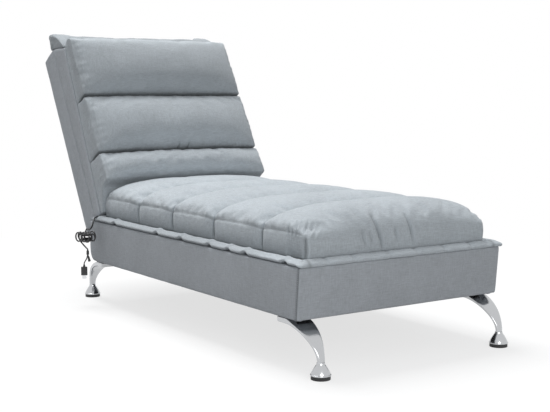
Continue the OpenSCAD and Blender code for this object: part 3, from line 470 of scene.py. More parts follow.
shade = maths(t, "MULTIPLY_ADD", streaks, given["Contrast"], 1.0)
shade = maths(t, "MULTIPLY_ADD", clouds, maths(t, "MULTIPLY", given["Contrast"], CLOUD_SHADE), shade)
shade = maths(t, "MULTIPLY_ADD", weave, maths(t, "MULTIPLY", given["Contrast"], WEAVE_SHADE), shade)
t.links.new(shade, result["Shade"])
height = maths(t, "MULTIPLY_ADD", weave, WEAVE_HEIGHT, maths(t, "MULTIPLY", streaks, SLUB_HEIGHT))
t.links.new(height, result["Height"])

grain_group, given, result = new_group(
    "fine_grain",
    [("Position", "Vector", 0), ("Size", "Float", 0.001), ("Contrast", "Float", 0.1)],
    ["Shade", "Height"],
)
t = grain_group
cells = maths(t, "DIVIDE", 1.0, given["Size"])
fine = centred_noise(t, axis_vector(t, given["Position"], cells, cells, cells), detail=3.0, roughness=0.6)
t.links.new(maths(t, "MULTIPLY_ADD", fine, given["Contrast"], 1.0), result["Shade"])
t.links.new(fine, result["Height"])

handling_group, given, result = new_group(
    "handling", [("Position", "Vector", 0), ("Scale", "Float", 14.0), ("Amount", "Float", 0.5)], ["Mask"])
t = handling_group
patches = noise(t, given["Position"], detail=5.0, roughness=0.65, scale=given["Scale"])
patches = add_node(t, "ShaderNodeMapRange", {"Value": patches, "From Min": 0.42, "From Max": 0.72}).outputs[0]
t.links.new(maths(t, "MULTIPLY", patches, given["Amount"]), result["Mask"])

wood_group, given, result = new_group(
    "wood_grain",
    [("Position", "Vector", 0), ("Ring Width", "Float", 0.006), ("Contrast", "Float", 0.3)],
    ["Shade", "Height"],
)
t = wood_group
wobble = noise(t, axis_vector(t, given["Position"], 9.0, 1.5, 9.0), detail=3.0, scale=5.0)
parts = add_node(t, "ShaderNodeSeparateXYZ", {0: given["Position"]}).outputs
across_grain = maths(t, "ADD", maths(t, "MULTIPLY_ADD", wobble, 0.05, parts[0]), maths(t, "MULTIPLY", parts[2], 0.7))
rings = maths(t, "SINE", maths(t, "DIVIDE", across_grain, maths(t, "DIVIDE", given["Ring Width"], 2 * math.pi)))
fibres = centred_noise(t, axis_vector(t, given["Position"], 900.0, 40.0, 900.0), detail=2.0)
figure = maths(t, "MULTIPLY_ADD", rings, 0.35, fibres)
t.links.new(maths(t, "MULTIPLY_ADD", figure, given["Contrast"], 1.0), result["Shade"])
t.links.new(fibres, result["Height"])
print("groups:", sorted(group.name for group in bpy.data.node_groups))

# %% [markdown]
# ## The studio's white
# The floor is matt and pale. Near the chair it is a plain surface that takes the shadow, and
# further out it turns into even white for the camera. To the chair's own light it is a darker
# floor, so that faces which look sideways or down stay darker than the top, as in the photograph.
# The world does the same: it lights the chair softly, while the camera, mirrors and glass see a
# white of strength 1.

# %% Floor finish and world
def sees_background(tree):
    rays = tree.nodes.new("ShaderNodeLightPath").outputs
    seen = maths(tree, "MAXIMUM", rays["Is Camera Ray"], rays["Is Glossy Ray"])
    return maths(tree, "MAXIMUM", seen, rays["Is Transmission Ray"])


FLOOR_WHITE = 0.72
FLOOR_BOUNCE = 0.30
PLAIN_UNTIL, WHITE_FROM = 0.95, 1.9
floor_finish = bpy.data.materials.new("studio_floor")
floor_finish.use_nodes = True
t = floor_finish.node_tree
t.nodes.clear()
floor_place = t.nodes.new("ShaderNodeTexCoord").outputs["Object"]
away = vector_maths(t, "LENGTH", floor_place)
limits = {"Value": away, "From Min": PLAIN_UNTIL, "From Max": WHITE_FROM, "To Min": FLOOR_WHITE}
far_off = add_node(t, "ShaderNodeMapRange", limits, interpolation_type="SMOOTHSTEP").outputs[0]
dusting = noise(t, floor_place, detail=3.0, scale=30.0)
floor_tone = maths(t, "MULTIPLY_ADD", dusting, 0.01, 0.93)
seen_share = maths(t, "MULTIPLY_ADD", sees_background(t), 1 - FLOOR_BOUNCE, FLOOR_BOUNCE)
floor_tone = maths(t, "MULTIPLY", floor_tone, seen_share)
floor_colour = add_node(t, "ShaderNodeCombineColor", {0: floor_tone, 1: floor_tone, 2: floor_tone}).outputs[0]
paint = add_node(t, "ShaderNodeBsdfDiffuse", {"Color": floor_colour})
glow = add_node(t, "ShaderNodeEmission", {"Color": (1, 1, 1, 1), "Strength": 1.0})
whiteness = maths(t, "MULTIPLY", far_off, sees_background(t))
blend_in = add_node(t, "ShaderNodeMixShader", {0: whiteness, 1: paint.outputs[0], 2: glow.outputs[0]})
t.links.new(blend_in.outputs[0], add_node(t, "ShaderNodeOutputMaterial").inputs["Surface"])
floor.data.materials.append(floor_finish)

WORLD_LIGHT = 0.42
world = bpy.data.worlds.new("studio_world")
world.use_nodes = True
SCENE.world = world
t = world.node_tree
t.nodes.clear()
soft_light = add_node(t, "ShaderNodeBackground", {"Color": (0.96, 0.98, 1.0, 1), "Strength": WORLD_LIGHT})
white = add_node(t, "ShaderNodeBackground", {"Color": (1, 1, 1, 1), "Strength": 1.0})
chosen = add_node(t, "ShaderNodeMixShader", {0: sees_background(t), 1: soft_light.outputs[0], 2: white.outputs[0]})
t.links.new(chosen.outputs[0], add_node(t, "ShaderNodeOutputWorld").inputs["Surface"])
print("world light", WORLD_LIGHT)

# %% [markdown]
# ## Finishes
# All the cloth on the chair is one light grey woven cloth: the seat, the back and the base only
# differ a little in shade, because the base's cover and the back's slab and border have a darker
# copy of it, a painted shade for their sideways faces. On the back the threads follow the slope, so
# the pattern's coordinates are turned by the lean of the back about its pivot. Sheen and other
# numbers that are the same all over are set on the shader itself. A piece can also remember a
# painted shade on its points, strongest in sunk seams and creases, and the cloth is darker there.

# %% Cloth
LEAN = math.radians(29.8)
# How far the painted shade that a piece remembers on its points darkens the cloth at most.
PAINTED_SHADE_DEPTH = 0.55


def place_and_facing(tree, lean=0.0):
    source = tree.nodes.new("ShaderNodeTexCoord").outputs
    position, facing = source["Object"], source["Normal"]
    if lean:
        position, facing = (
            add_node(tree, "ShaderNodeMapping", {0: value, "Rotation": (lean, 0, 0)}, vector_type=kind).outputs[0]
            for value, kind in ((position, "POINT"), (facing, "NORMAL"))
        )
    return position, facing


def new_material(name, **plain):
    material = bpy.data.materials.new(name)
    material.use_nodes = True
    tree = material.node_tree
    shader = tree.nodes["Principled BSDF"]
    for key, value in plain.items():
        shader.inputs[key.replace("_", " ").title().replace("Ior", "IOR")].default_value = value
    return material, tree, shader


def use_group(tree, group, values):
    node = tree.nodes.new("ShaderNodeGroup")
    node.node_tree = group
    for key, value in values.items():
        label = key.replace("_", " ").title()
        if isinstance(value, bpy.types.NodeSocket):
            tree.links.new(value, node.inputs[label])
        else:
            node.inputs[label].default_value = value
    return node


def tinted(tree, colour, shade):
    """The colour times a shade that changes over the surface."""
    node = add_node(tree, "ShaderNodeVectorMath", {0: colour}, operation="SCALE")
    tree.links.new(shade, node.inputs["Scale"])
    return node.outputs["Vector"]


def add_bump(tree, shader, height, distance, strength=1.0):
    bump = add_node(tree, "ShaderNodeBump", {"Height": height, "Distance": distance, "Strength": strength})
    tree.links.new(bump.outputs[0], shader.inputs["Normal"])


def cloth_material(name, colour, lean=0.0, pitch=0.0016, contrast=0.52, wear=0.05, bump=0.0007):
    material, tree, shader = new_material(name, sheen_weight=0.22, sheen_roughness=0.5, specular_ior_level=0.25)
    position, facing = place_and_facing(tree, lean)
    wanted = {"position": position, "facing": facing, "pitch": pitch, "contrast": contrast}
    cloth = use_group(tree, cloth_group, wanted)
    rubbed = use_group(tree, handling_group, {"position": position, "scale": 6.0, "amount": wear})
    # The painted shade that the piece remembers on its points darkens the cloth.
    in_seam = add_node(tree, "ShaderNodeAttribute", attribute_name="seam").outputs["Fac"]
    shade = maths(tree, "ADD", cloth.outputs["Shade"], rubbed.outputs["Mask"])
    shade = maths(tree, "MULTIPLY", shade, maths(tree, "MULTIPLY_ADD", in_seam, -PAINTED_SHADE_DEPTH, 1.0))
    tree.links.new(tinted(tree, colour, shade), shader.inputs["Base Color"])
    tree.links.new(maths(tree, "MULTIPLY_ADD", cloth.outputs["Height"], -0.08, 0.86), shader.inputs["Roughness"])
    add_bump(tree, shader, cloth.outputs["Height"], bump)
    return material


# The sides' grey is a painted shade: a darker copy of the same cloth for pieces whose faces look sideways.
TOP_GREY, SHADED_SIDE_GREY = (0.490, 0.535, 0.570), (0.450, 0.480, 0.515)
seat_cloth = cloth_material("seat_cloth", TOP_GREY)
back_cloth = cloth_material("back_cloth", TOP_GREY, lean=LEAN)
shaded_side_cloth = cloth_material("shaded_side_cloth", SHADED_SIDE_GREY, contrast=0.46)
back_shaded_side_cloth = cloth_material("back_shaded_side_cloth", SHADED_SIDE_GREY, lean=LEAN, contrast=0.46)
under_cloth = cloth_material("under_cloth", (0.030, 0.030, 0.033), pitch=0.0009, contrast=0.6, wear=0.3, bump=0.0003)

# %% [markdown]
# The hard finishes: polished chrome on the legs and feet, with faint smudges that only change the
# roughness; zinc-plated steel inside; moulded black plastic, rubber pads and the lead's sheath,
# each with its own grain and a little dust; open-cell foam; and plywood and pine with their grain.

# %% Hard finishes
def grained_material(name, colour, rough, size, contrast, bump=0.0, dust=0.25, dusty=(0.25, 0.25, 0.25), metal=0.0):
    """Grain of a size and contrast over a colour, with dust that is duller and has its own colour."""
    material, tree, shader = new_material(name, metallic=metal)
    position, _ = place_and_facing(tree)
    grain = use_group(tree, grain_group, {"position": position, "size": size, "contrast": contrast})
    handled = use_group(tree, handling_group, {"position": position, "scale": 22.0, "amount": dust})
    layers = {0: handled.outputs["Mask"], 6: tinted(tree, colour, grain.outputs["Shade"]), 7: (*dusty, 1)}
    dusted = add_node(tree, "ShaderNodeMix", layers, data_type="RGBA").outputs[2]
    tree.links.new(dusted, shader.inputs["Base Color"])
    tree.links.new(maths(tree, "MULTIPLY_ADD", handled.outputs["Mask"], 0.3, rough), shader.inputs["Roughness"])
    if bump:
        add_bump(tree, shader, grain.outputs["Height"], bump)
    return material


chrome = grained_material("chrome", (0.52, 0.53, 0.545), rough=0.17, size=0.004, contrast=0.02,
                          dust=0.08, dusty=(0.46, 0.47, 0.48), metal=1.0)
thread = grained_material("thread", (0.54, 0.57, 0.61), rough=0.7, size=0.0006, contrast=0.25)
steel = grained_material("plated_steel", (0.56, 0.57, 0.60), rough=0.3, size=0.0008, contrast=0.15, bump=0.00004,
                         dust=0.4, dusty=(0.42, 0.41, 0.39), metal=1.0)
plug_steel = grained_material("plug_steel", (0.70, 0.71, 0.73), rough=0.18, size=0.0006, contrast=0.06, bump=0.00001,
                              dust=0.15, dusty=(0.5, 0.5, 0.5), metal=1.0)
black_plastic = grained_material("black_plastic", (0.018, 0.018, 0.020), rough=0.38, size=0.0007, contrast=0.35,
                                 bump=0.00006, dust=0.12)
rubber = grained_material("rubber", (0.016, 0.016, 0.017), rough=0.62, size=0.0012, contrast=0.3,
                          bump=0.0001, dust=0.22)
sheath = grained_material("cord_sheath", (0.014, 0.014, 0.016), rough=0.42, size=0.0009, contrast=0.25,
                          bump=0.00003, dust=0.12)
foam_finish = grained_material("foam", (0.74, 0.68, 0.47), rough=0.92, size=0.0016, contrast=0.4,
                               bump=0.0008, dust=0.2, dusty=(0.55, 0.47, 0.3))


def wood_material(name, colour, ring, contrast):
    material, tree, shader = new_material(name, specular_ior_level=0.35)
    position, _ = place_and_facing(tree)
    grain = use_group(tree, wood_group, {"position": position, "ring_width": ring, "contrast": contrast})
    stained = use_group(tree, handling_group, {"position": position, "scale": 9.0, "amount": 0.12})
    shade = maths(tree, "SUBTRACT", grain.outputs["Shade"], stained.outputs["Mask"])
    tree.links.new(tinted(tree, colour, shade), shader.inputs["Base Color"])
    tree.links.new(maths(tree, "MULTIPLY_ADD", stained.outputs["Mask"], 0.4, 0.6), shader.inputs["Roughness"])
    add_bump(tree, shader, grain.outputs["Height"], 0.0003)
    return material


pine = wood_material("pine", (0.62, 0.44, 0.25), ring=0.009, contrast=0.22)
plywood = wood_material("plywood", (0.58, 0.43, 0.28), ring=0.02, contrast=0.16)


def dress(node_names, material):
    """Gives CAD nodes a finish, which leaves their meshes as they are."""
    for name in node_names.split():
        node = NODES[name]
        node.data.materials.clear()
        node.data.materials.append(material)


dress("base_side_left base_side_right seat_deck back_panel", plywood)
dress("base_front_rail base_rear_rail base_cross_rails leg_blocks back_stile_left back_stile_right back_rails", pine)
dress("leg_screws hinge_plate_left hinge_plate_right hinge_pins plate_screws", steel)
dress("hinge_arm_left hinge_arm_right arm_screws", steel)
dress("seat_motors seat_weight_left seat_weight_right back_motors back_weight_left back_weight_right", steel)
dress("seat_motor_cases back_motor_cases control_box cord_gland", black_plastic)
dress("hank_tie cord_splitter usb_plug round_socket", black_plastic)
dress("seat_wiring back_wiring", sheath)
dress("usb_shell", plug_steel)
dress("foot_pads", rubber)
for piece in (lead, usb_lead, socket_lead):
    piece.data.materials.append(sheath)
print("materials:", len(bpy.data.materials))

# %% [markdown]
# ## Soft lofts
# A cushion is sewn from panels, so its mesh follows them: each row of points is one cut across the
# cushion, and each column runs along it. Two numbers are kept on every point, its place along the
# rows and along the columns. Subdivision carries them along, and later steps find a seam or a
# gathered edge by them.

# %% Lofts with remembered places
def resampled(points, count):
    """A polyline cut into count equal steps."""
    points = np.asarray(points, float)
    travelled = np.concatenate([[0], np.cumsum(np.linalg.norm(np.diff(points, axis=0), axis=1))])
    wanted = np.linspace(0, travelled[-1], count + 1)
    return np.stack([np.interp(wanted, travelled, points[:, i]) for i in range(points.shape[1])], axis=1)


def bezier(points, count):
    a, b, c, d = (np.asarray(p, float) for p in points)
    f = np.linspace(0, 1, count + 1)[:, None]
    return a * (1 - f) ** 3 + 3 * b * f * (1 - f) ** 2 + 3 * c * f * f * (1 - f) + d * f ** 3


def remember(obj, name, values):
    obj.data.attributes.new(name, "FLOAT", "POINT").data.foreach_set("value", np.asarray(values, np.float32))


def remembered(obj, name):
    out = np.empty(len(obj.data.vertices), np.float32)
    obj.data.attributes[name].data.foreach_get("value", out)
    return out.astype(float)


def in_seam(obj, amount):
    """Notes a painted shade on each point, from 0 to 1, and keeps the stronger of two notes."""
    amount = np.clip(amount, 0, 1)
    if "seam" in obj.data.attributes:
        amount = np.maximum(amount, remembered(obj, "seam"))
        obj.data.attributes.remove(obj.data.attributes["seam"])
    remember(obj, "seam", amount)


def soft_loft(name, rows, row_places, column_places, closed=True, cap_steps=4):
    """Joins rows of points. A closed loft is capped by shrinking its end rows to a point."""
    rows = [np.asarray(row, float) for row in rows]
    places = list(row_places)
    if closed and cap_steps:
        for end in (0, -1):
            row = rows[end]
            middle = row.mean(axis=0)
            shrunk = [middle + (row - middle) * (1 - (k + 1) / (cap_steps + 1)) for k in range(cap_steps)]
            if end == 0:
                rows = shrunk[::-1] + rows
                places = [places[0]] * cap_steps + places
            else:
                rows = rows + shrunk
                places = places + [places[-1]] * cap_steps
    width = len(column_places)
    points = np.concatenate(rows)
    faces = skin_faces(len(rows), width, closed)
    at_row = np.repeat(places, width)
    at_column = np.tile(column_places, len(rows))
    if closed:
        for end, start in ((0, 0), (-1, (len(rows) - 1) * width)):
            points = np.vstack([points, rows[end].mean(axis=0)])
            at_row = np.append(at_row, places[end])
            at_column = np.append(at_column, column_places[width // 2])
            pole = len(points) - 1
            for j in range(width):
                pair = (start + j, start + (j + 1) % width)
                faces.append((pole, pair[1], pair[0]) if end == 0 else (pole, pair[0], pair[1]))
    made = new_object(name, points, faces)
    remember(made, "row_place", at_row)
    remember(made, "column_place", at_column)
    return smooth_shading(outward(made))


# %% [markdown]
# ## Filling a cushion
# Cloth simulation makes the stuffed look that is hard to model by hand. The cover starts a little
# smaller than the finished cushion and has a few percent of spare cloth. Its seams are held where
# they are, air pressure pushes it out from inside, and the spare cloth gathers into small folds
# beside the seams. The movement is limited, so that the cushion still fits the chair, and the
# result is written into the mesh, so that no simulation stays on the piece.

# %% Cloth simulation
START_NOISE, START_NOISE_SIZE = 0.0006, 0.05


def stuffed(obj, held, pressure=4.0, spare=0.04, most=0.024, stiffness=12.0, bending=0.4, frames=20):
    """held is a weight for every point: 1 stays in place and 0 is free."""
    before = coordinates(obj)
    waves = np.stack([noise_wave(before, START_NOISE_SIZE, seed) for seed in (3, 4, 5)], axis=1)
    start = before + START_NOISE * waves * (1 - held)[:, None]
    set_coordinates(obj, start)
    group = obj.vertex_groups.new(name="held")
    for weight in np.unique(np.round(held, 2)):
        if weight > 0:
            group.add([int(i) for i in np.nonzero(np.round(held, 2) == weight)[0]], float(weight), "REPLACE")
    cloth = obj.modifiers.new("cover", "CLOTH")
    settings = cloth.settings
    settings.quality = 7
    settings.mass = 0.25
    settings.tension_stiffness = stiffness
    settings.compression_stiffness = stiffness
    settings.shear_stiffness = stiffness / 2
    settings.bending_stiffness = bending
    settings.vertex_group_mass = "held"
    settings.pin_stiffness = 1.0
    settings.use_pressure = True
    settings.uniform_pressure_force = pressure
    settings.shrink_min = -spare
    settings.shrink_max = -spare
    settings.effector_weights.gravity = 0.0
    cloth.collision_settings.use_collision = False
    cloth.collision_settings.use_self_collision = False
    cloth.point_cache.frame_start = 1
    cloth.point_cache.frame_end = frames
    for number in range(1, frames + 1):
        SCENE.frame_set(number)
    graph = bpy.context.evaluated_depsgraph_get()
    shown = obj.evaluated_get(graph)
    after = np.empty(len(before) * 3)
    shown.data.vertices.foreach_get("co", after)
    moved = after.reshape(-1, 3) - before
    distance = np.linalg.norm(moved, axis=1)
    moved *= (most * np.tanh(distance / most) / np.maximum(distance, 1e-9))[:, None]
    obj.modifiers.clear()
    obj.vertex_groups.clear()
    SCENE.frame_set(1)
    set_coordinates(obj, before + moved * (1 - (held >= 1))[:, None])
    furthest, kept = float(distance.max()), float(np.linalg.norm(moved, axis=1).max())
    print(obj.name, "moved up to", round(furthest * 1000, 1), "mm, kept to", round(kept * 1000, 1))
    return obj


def sunk(obj, amount, direction=None):
    """Moves each point inwards along its normal by an amount in metres, or along one direction."""
    points = coordinates(obj)
    if direction is None:
        normals = np.empty(len(points) * 3)
        obj.data.vertices.foreach_get("normal", normals)
        direction = normals.reshape(-1, 3)
    set_coordinates(obj, points - direction * np.asarray(amount)[:, None])
    return obj


def bell(distance, width):
    return np.exp(-(distance / width) ** 2)


def ripple(along, length, bend):
    """A wave along one coordinate, bent so that no two of its folds are alike."""
    return np.sin(along * 2 * math.pi / length + bend)


# %% [markdown]
# ## The seat cushion
# The long seat cushion is channelled: four rows of stitching pull it down into five rolls, and the
# first roll turns over at the front. A top panel meets upright side panels in a seam that runs all
# round. The rows of the loft stand upright along the seat. At each end they fan out round a line
# on the cushion's underside, until the last row lies flat there, so that the rounded ends have the
# same neat grid as the middle.

# %% Seat cushion: its shape
SEAT_X = 0.270
SEAT_FRONT, SEAT_REAR = -0.6545, 0.3385
SEAT_FLOOR = 0.249
SEAT_WALL, SEAT_CROWN = 0.055, 0.049
SEAT_SEAMS = [0, 0.178, 0.394, 0.602, 0.791, 1]
FRONT_R, REAR_R, WALL_CORNER_R = 0.072, 0.045, 0.014
SEAT_LENGTH = SEAT_REAR - SEAT_FRONT
WALL_STEPS, TOP_STEPS = 8, 64
WALL_DIP, CROWN_DIP = 0.007, 0.023
ROW_STEP, ROW_CROWDING = 0.0095, 0.55


def seam_nearness(share, sharpness=5):
    near = 0.0
    for a, b in zip(SEAT_SEAMS, SEAT_SEAMS[1:]):
        f = (share - a) / (b - a)
        if 0 <= f <= 1:
            near = max(near, abs(2 * f - 1) ** sharpness)
    return near


def quarter(f):
    return math.sqrt(max(0.0, 1 - f * f)) if f > 0 else 1.0


def seat_heights(y):
    """Height of the wall and of the middle of the crown above the cushion's floor, at one y."""
    share = (y - SEAT_FRONT) / SEAT_LENGTH
    front = quarter(1 - (y - SEAT_FRONT) / FRONT_R)
    rear = quarter(1 - (SEAT_REAR - y) / REAR_R)
    near = seam_nearness(share)
    upright = quarter(1 - (y - SEAT_FRONT) / WALL_CORNER_R)
    wall = SEAT_WALL * mix(0.74, 1, upright) * mix(0.7, 1, rear) - WALL_DIP * near * rear * front
    crown = SEAT_CROWN * mix(0.05, 1, front) * mix(0.3, 1, rear) - CROWN_DIP * near * rear * front
    return wall, crown, near * rear * front


def seat_section(wall, crown, half, steps_in_top=TOP_STEPS, bulge=0.003):
    """Side wall, top and side wall, as (x, height) from the left foot to the right foot."""
    side = [(-half - bulge * math.sin(math.pi * h), wall * h) for h in np.linspace(0, 1, 12)]
    u = -np.cos(np.linspace(0, math.pi, 121))
    top = np.stack([half * u, wall + crown * np.maximum(0, 1 - np.abs(u) ** 3) ** 0.45], axis=1)
    left = resampled(side, WALL_STEPS)
    middle = resampled(top, steps_in_top)
    right = left[::-1] * [-1, 1]
    return np.vstack([left[:-1], middle, right[1:]])


def crowded(i, count):
    """The share i of count, moved towards the nearer end, so rows lie closer beside a seam."""
    return i / count - ROW_CROWDING * math.sin(2 * math.pi * i / count) / (2 * math.pi)


row_shares = []
for a, b in zip(SEAT_SEAMS, SEAT_SEAMS[1:]):
    count = max(2, round((b - a) * SEAT_LENGTH / ROW_STEP))
    row_shares += [mix(a, b, crowded(i, count)) for i in range(count)]
straight = [s for s in row_shares if FRONT_R < s * SEAT_LENGTH < SEAT_LENGTH - REAR_R]
seat_rows, seat_places = [], []


def fan_rows(end_y, radius, towards, steps):
    """Rows that turn round a line on the floor, from lying flat to standing upright."""
    pivot = end_y + towards * radius
    ys = end_y + towards * radius * (1 - np.cos(np.linspace(0, math.pi / 2, 40)))
    heights = np.array([seat_heights(y)[:2] for y in ys])
    tops = np.vstack([[(end_y, 0.0)], np.stack([ys, heights.sum(axis=1)], axis=1)])
    walls = np.vstack([[(end_y, 0.0)], np.stack([ys, heights[:, 0]], axis=1)])
    stops = resampled(tops, steps)
    wall_angles = np.arctan2(walls[:, 1], np.abs(pivot - walls[:, 0]))
    wall_reach = np.hypot(walls[:, 1], pivot - walls[:, 0])
    rows = []
    for y, z in stops[:-1]:
        angle = math.atan2(z, abs(pivot - y))
        reach = np.interp(angle, wall_angles, wall_reach)
        crest = math.hypot(z, pivot - y)
        half = SEAT_X - 0.006 * math.cos(angle) ** 2
        flat = seat_section(reach, max(crest - reach, 0.0004), half, bulge=0.003 * math.sin(angle))
        c, s = towards * math.cos(angle), math.sin(angle)
        rows.append((y, [(x, pivot - r * c, SEAT_FLOOR + r * s) for x, r in flat]))
    return rows


for y, row in fan_rows(SEAT_FRONT, FRONT_R, 1, 17):
    seat_rows.append(row)
    seat_places.append((y - SEAT_FRONT) / SEAT_LENGTH)
for share in straight:
    y = mix(SEAT_FRONT, SEAT_REAR, share)
    wall, crown, near = seat_heights(y)
    flat = seat_section(wall, crown, SEAT_X - 0.009 * near, bulge=mix(0.004, 0.0006, near))
    seat_rows.append([(x, y, SEAT_FLOOR + z) for x, z in flat])
    seat_places.append(share)
for y, row in fan_rows(SEAT_REAR, REAR_R, -1, 11)[::-1]:
    seat_rows.append(row)
    seat_places.append((y - SEAT_FRONT) / SEAT_LENGTH)

seat_columns = list(range(2 * WALL_STEPS + TOP_STEPS + 1))
seat_cushion = soft_loft("seat_cushion_cover", seat_rows, seat_places, seat_columns, closed=False)
print("seat cushion:", len(seat_rows), "rows of", len(seat_columns), "points")

# %% [markdown]
# The stuffing pass holds the underside's edge and the rows of stitching. The side panels and the
# front are held nearly as firmly, so they stay upright, and the top seam at half weight. After it
# come the details that are finer than the grid: the stitched grooves, the short gathers that fan
# out from each seam, and the pleats at the front corner. Cloth at a seam and low down on the sides
# gets a painted shade, and so becomes darker. Last, the underside is closed.

# %% Seat cushion: stuffing and seams
COLUMN_WIDTH = 0.0075


def seam_places():
    """For every point: the metres to the nearest row of stitching, the columns to the top seam, and
    whether it lies on a side panel and on the top panel."""
    place, column = remembered(seat_cushion, "row_place"), remembered(seat_cushion, "column_place")
    to_stitches = np.min([np.abs(place - s) for s in SEAT_SEAMS[1:-1]], axis=0) * SEAT_LENGTH
    left, right = column - WALL_STEPS, column - WALL_STEPS - TOP_STEPS
    return to_stitches, np.minimum(np.abs(left), np.abs(right)), (left < 0) | (right > 0), (left > 0) & (right < 0)


seam_gap, edge_columns, side_panel, _ = seam_places()
on_floor = coordinates(seat_cushion)[:, 2] < SEAT_FLOOR + 1e-5
front_face = coordinates(seat_cushion)[:, 1] < SEAT_FRONT + 0.012
held = np.where(side_panel | front_face, 0.85, np.where(edge_columns < 0.5, 0.5, 0.0))
held = np.where(on_floor | (seam_gap < 0.002), 1.0, held)
stuffed(seat_cushion, held, spare=0.035, most=0.008)
subdivide(seat_cushion)


def close_holes(obj):
    work = bmesh.new()
    work.from_mesh(obj.data)
    bmesh.ops.triangle_fill(work, edges=[e for e in work.edges if e.is_boundary], use_beauty=True)
    bmesh.ops.recalc_face_normals(work, faces=work.faces)
    work.to_mesh(obj.data)
    work.free()
    return obj


points = coordinates(seat_cushion)
seam_gap, edge_columns, side_panel, top_panel = seam_places()
edge_gap = edge_columns * COLUMN_WIDTH
above_floor = points[:, 2] - SEAT_FLOOR
raised = np.clip(above_floor / 0.012, 0, 1)
groove = 0.0060 * bell(seam_gap, 0.0040) * raised
edge_line = 0.0022 * bell(edge_gap, 0.003) * raised
gather_wave = ripple(points[:, 0], 0.021, 2.2 * noise_wave(points, 0.09, seed=21))
gathers = 0.0007 * gather_wave * bell(seam_gap - 0.012, 0.012) * (seam_gap > 0.002)
above_edge = np.clip((edge_gap - 0.002) / 0.006, 0, 1)
ripple_wave = ripple(points[:, 1], 0.026, 2.0 * noise_wave(points, 0.11, seed=22))
ripples = np.where(top_panel, 0.0013, 0.0003) * ripple_wave * bell(edge_gap - 0.010, 0.012) * above_edge * raised
uneven = 0.0009 * noise_wave(points, 0.14, seed=23) * raised
sunk(seat_cushion, groove + edge_line + gathers + ripples + uneven)
# Painted shade: the masks below darken the stitched grooves, the top seam, the low sides and the cushion's foot.
low_down = bell(above_floor, 0.022) * (points[:, 2] > SEAT_FLOOR) * (points[:, 1] > SEAT_FRONT + 0.02)
at_foot = bell(above_floor, 0.0045)
shade_in_seams = np.where(side_panel, 1.0, 0.35) * bell(seam_gap, 0.0034) + 0.3 * bell(edge_gap, 0.002)
in_seam(seat_cushion, raised * shade_in_seams)
in_seam(seat_cushion, 0.42 * low_down + 0.4 * at_foot)
half_width, _, top_z = np.abs(coordinates(seat_cushion)).max(axis=0)
print("seat top at z =", round(float(top_z), 4), "half width", round(float(half_width), 4))

# %% Seat cushion: pleats and pinches
FRONT_PINCHES = [
    (-0.0730, -0.0500, 0.333, 0.244, 0.0120), (0.0265, 0.0400, 0.329, 0.258, 0.0105),
    (-0.1130, -0.1010, 0.304, 0.262, 0.006), (-0.0900, -0.0830, 0.300, 0.266, 0.005),
    (-0.0150, -0.0080, 0.306, 0.266, 0.007)
]
DEEPEST_PINCH = 0.012
CORNER_TOP = SEAT_FLOOR + 0.047
PLEAT_STEP, PLEAT_DEPTH = 0.013, 0.0026


def drawn_to(points, line_x, where, width=0.010, pull=0.62):
    """Moves points sideways towards a line, so the mesh is finer where a crease is pressed in."""
    off = points[:, 0] - line_x
    points[:, 0] -= off * pull * bell(off, width) * where
    return points


def pinches(obj, list_of_lines):
    """Short creases down the front roll: (x at the top, x at the foot, top z, foot z, depth)."""
    points = coordinates(obj)
    amount = np.zeros(len(points))
    for x, foot_x, top_z, foot_z, depth in list_of_lines:
        down = (top_z - points[:, 2]) / (top_z - foot_z)
        line_x = mix(x, foot_x, down)
        where = np.clip(1 - np.abs(2 * down - 1), 0, 1) ** 0.5 * (points[:, 1] < SEAT_FRONT + 0.06)
        points = drawn_to(points, line_x, where)
        set_coordinates(obj, points)
        off = points[:, 0] - line_x
        crease = bell(off, 0.0040) - 0.22 * bell(off - 0.010, 0.006) - 0.22 * bell(off + 0.010, 0.006)
        amount += depth * where * crease
        # Painted shade in the crease.
        in_seam(obj, depth / DEEPEST_PINCH * where * 0.75 * bell(off, 0.0030))
    return sunk(obj, amount)


pinches(seat_cushion, FRONT_PINCHES)
for side, strength in ((-1, 1.0), (1, 0.35)):
    points = coordinates(seat_cushion)
    offset = points - np.array([side * SEAT_X, SEAT_FRONT + 0.02, SEAT_FLOOR + 0.045])
    slanted = offset[:, 1] + 0.7 * (offset[:, 0] * side + 0.02)
    near_corner = bell(np.linalg.norm(offset, axis=1) - 0.028, 0.024) * (points[:, 2] > CORNER_TOP)
    sunk(seat_cushion, strength * PLEAT_DEPTH * ripple(slanted, PLEAT_STEP, 0.0) * near_corner)
    points = coordinates(seat_cushion)
    from_side, from_front = SEAT_X - side * points[:, 0], points[:, 1] - SEAT_FRONT
    upright_gap = np.abs(from_side - from_front) / 1.4
    upright_part = (points[:, 2] < CORNER_TOP) * (from_side < 0.02) * (from_front < 0.02)
    sunk(seat_cushion, 0.0024 * bell(upright_gap, 0.0028) * upright_part)
    # Painted shade in the upright corner seam.
    in_seam(seat_cushion, bell(upright_gap, 0.0030) * upright_part)
close_holes(seat_cushion)
hand_over(seat_cushion, seat_cloth, "seat_cushion", body="base")
print("seat cushion:", len(seat_cushion.data.polygons), "faces")

# %% [markdown]
# ## The flange under the cushion
# The seat topper ends in a thin padded flange that lies on the base round all sides and shows as a
# lip below the cushion. Small tucks take up its fullness, so between them its edge lifts a little,
# in scallops. It is a loft along a closed loop round the base: each row is one cut through the lip,
# thick and round at the outer edge and pressed thin where the cushion sits on it.

# %% Flange
FLANGE_X = 0.302
FLANGE_FRONT, FLANGE_REAR = -0.6805, 0.3615
FLANGE_LOW, FLANGE_TOP = 0.2377, 0.2485
LIP_WIDTH = 0.052
SIDE_TUCKS = [0.2095, -0.0365, -0.1645, -0.3025, -0.3885, -0.4625, -0.6205]
FRONT_TUCKS = [-0.225, -0.150, -0.048, 0.035, 0.120, 0.205, 0.262]


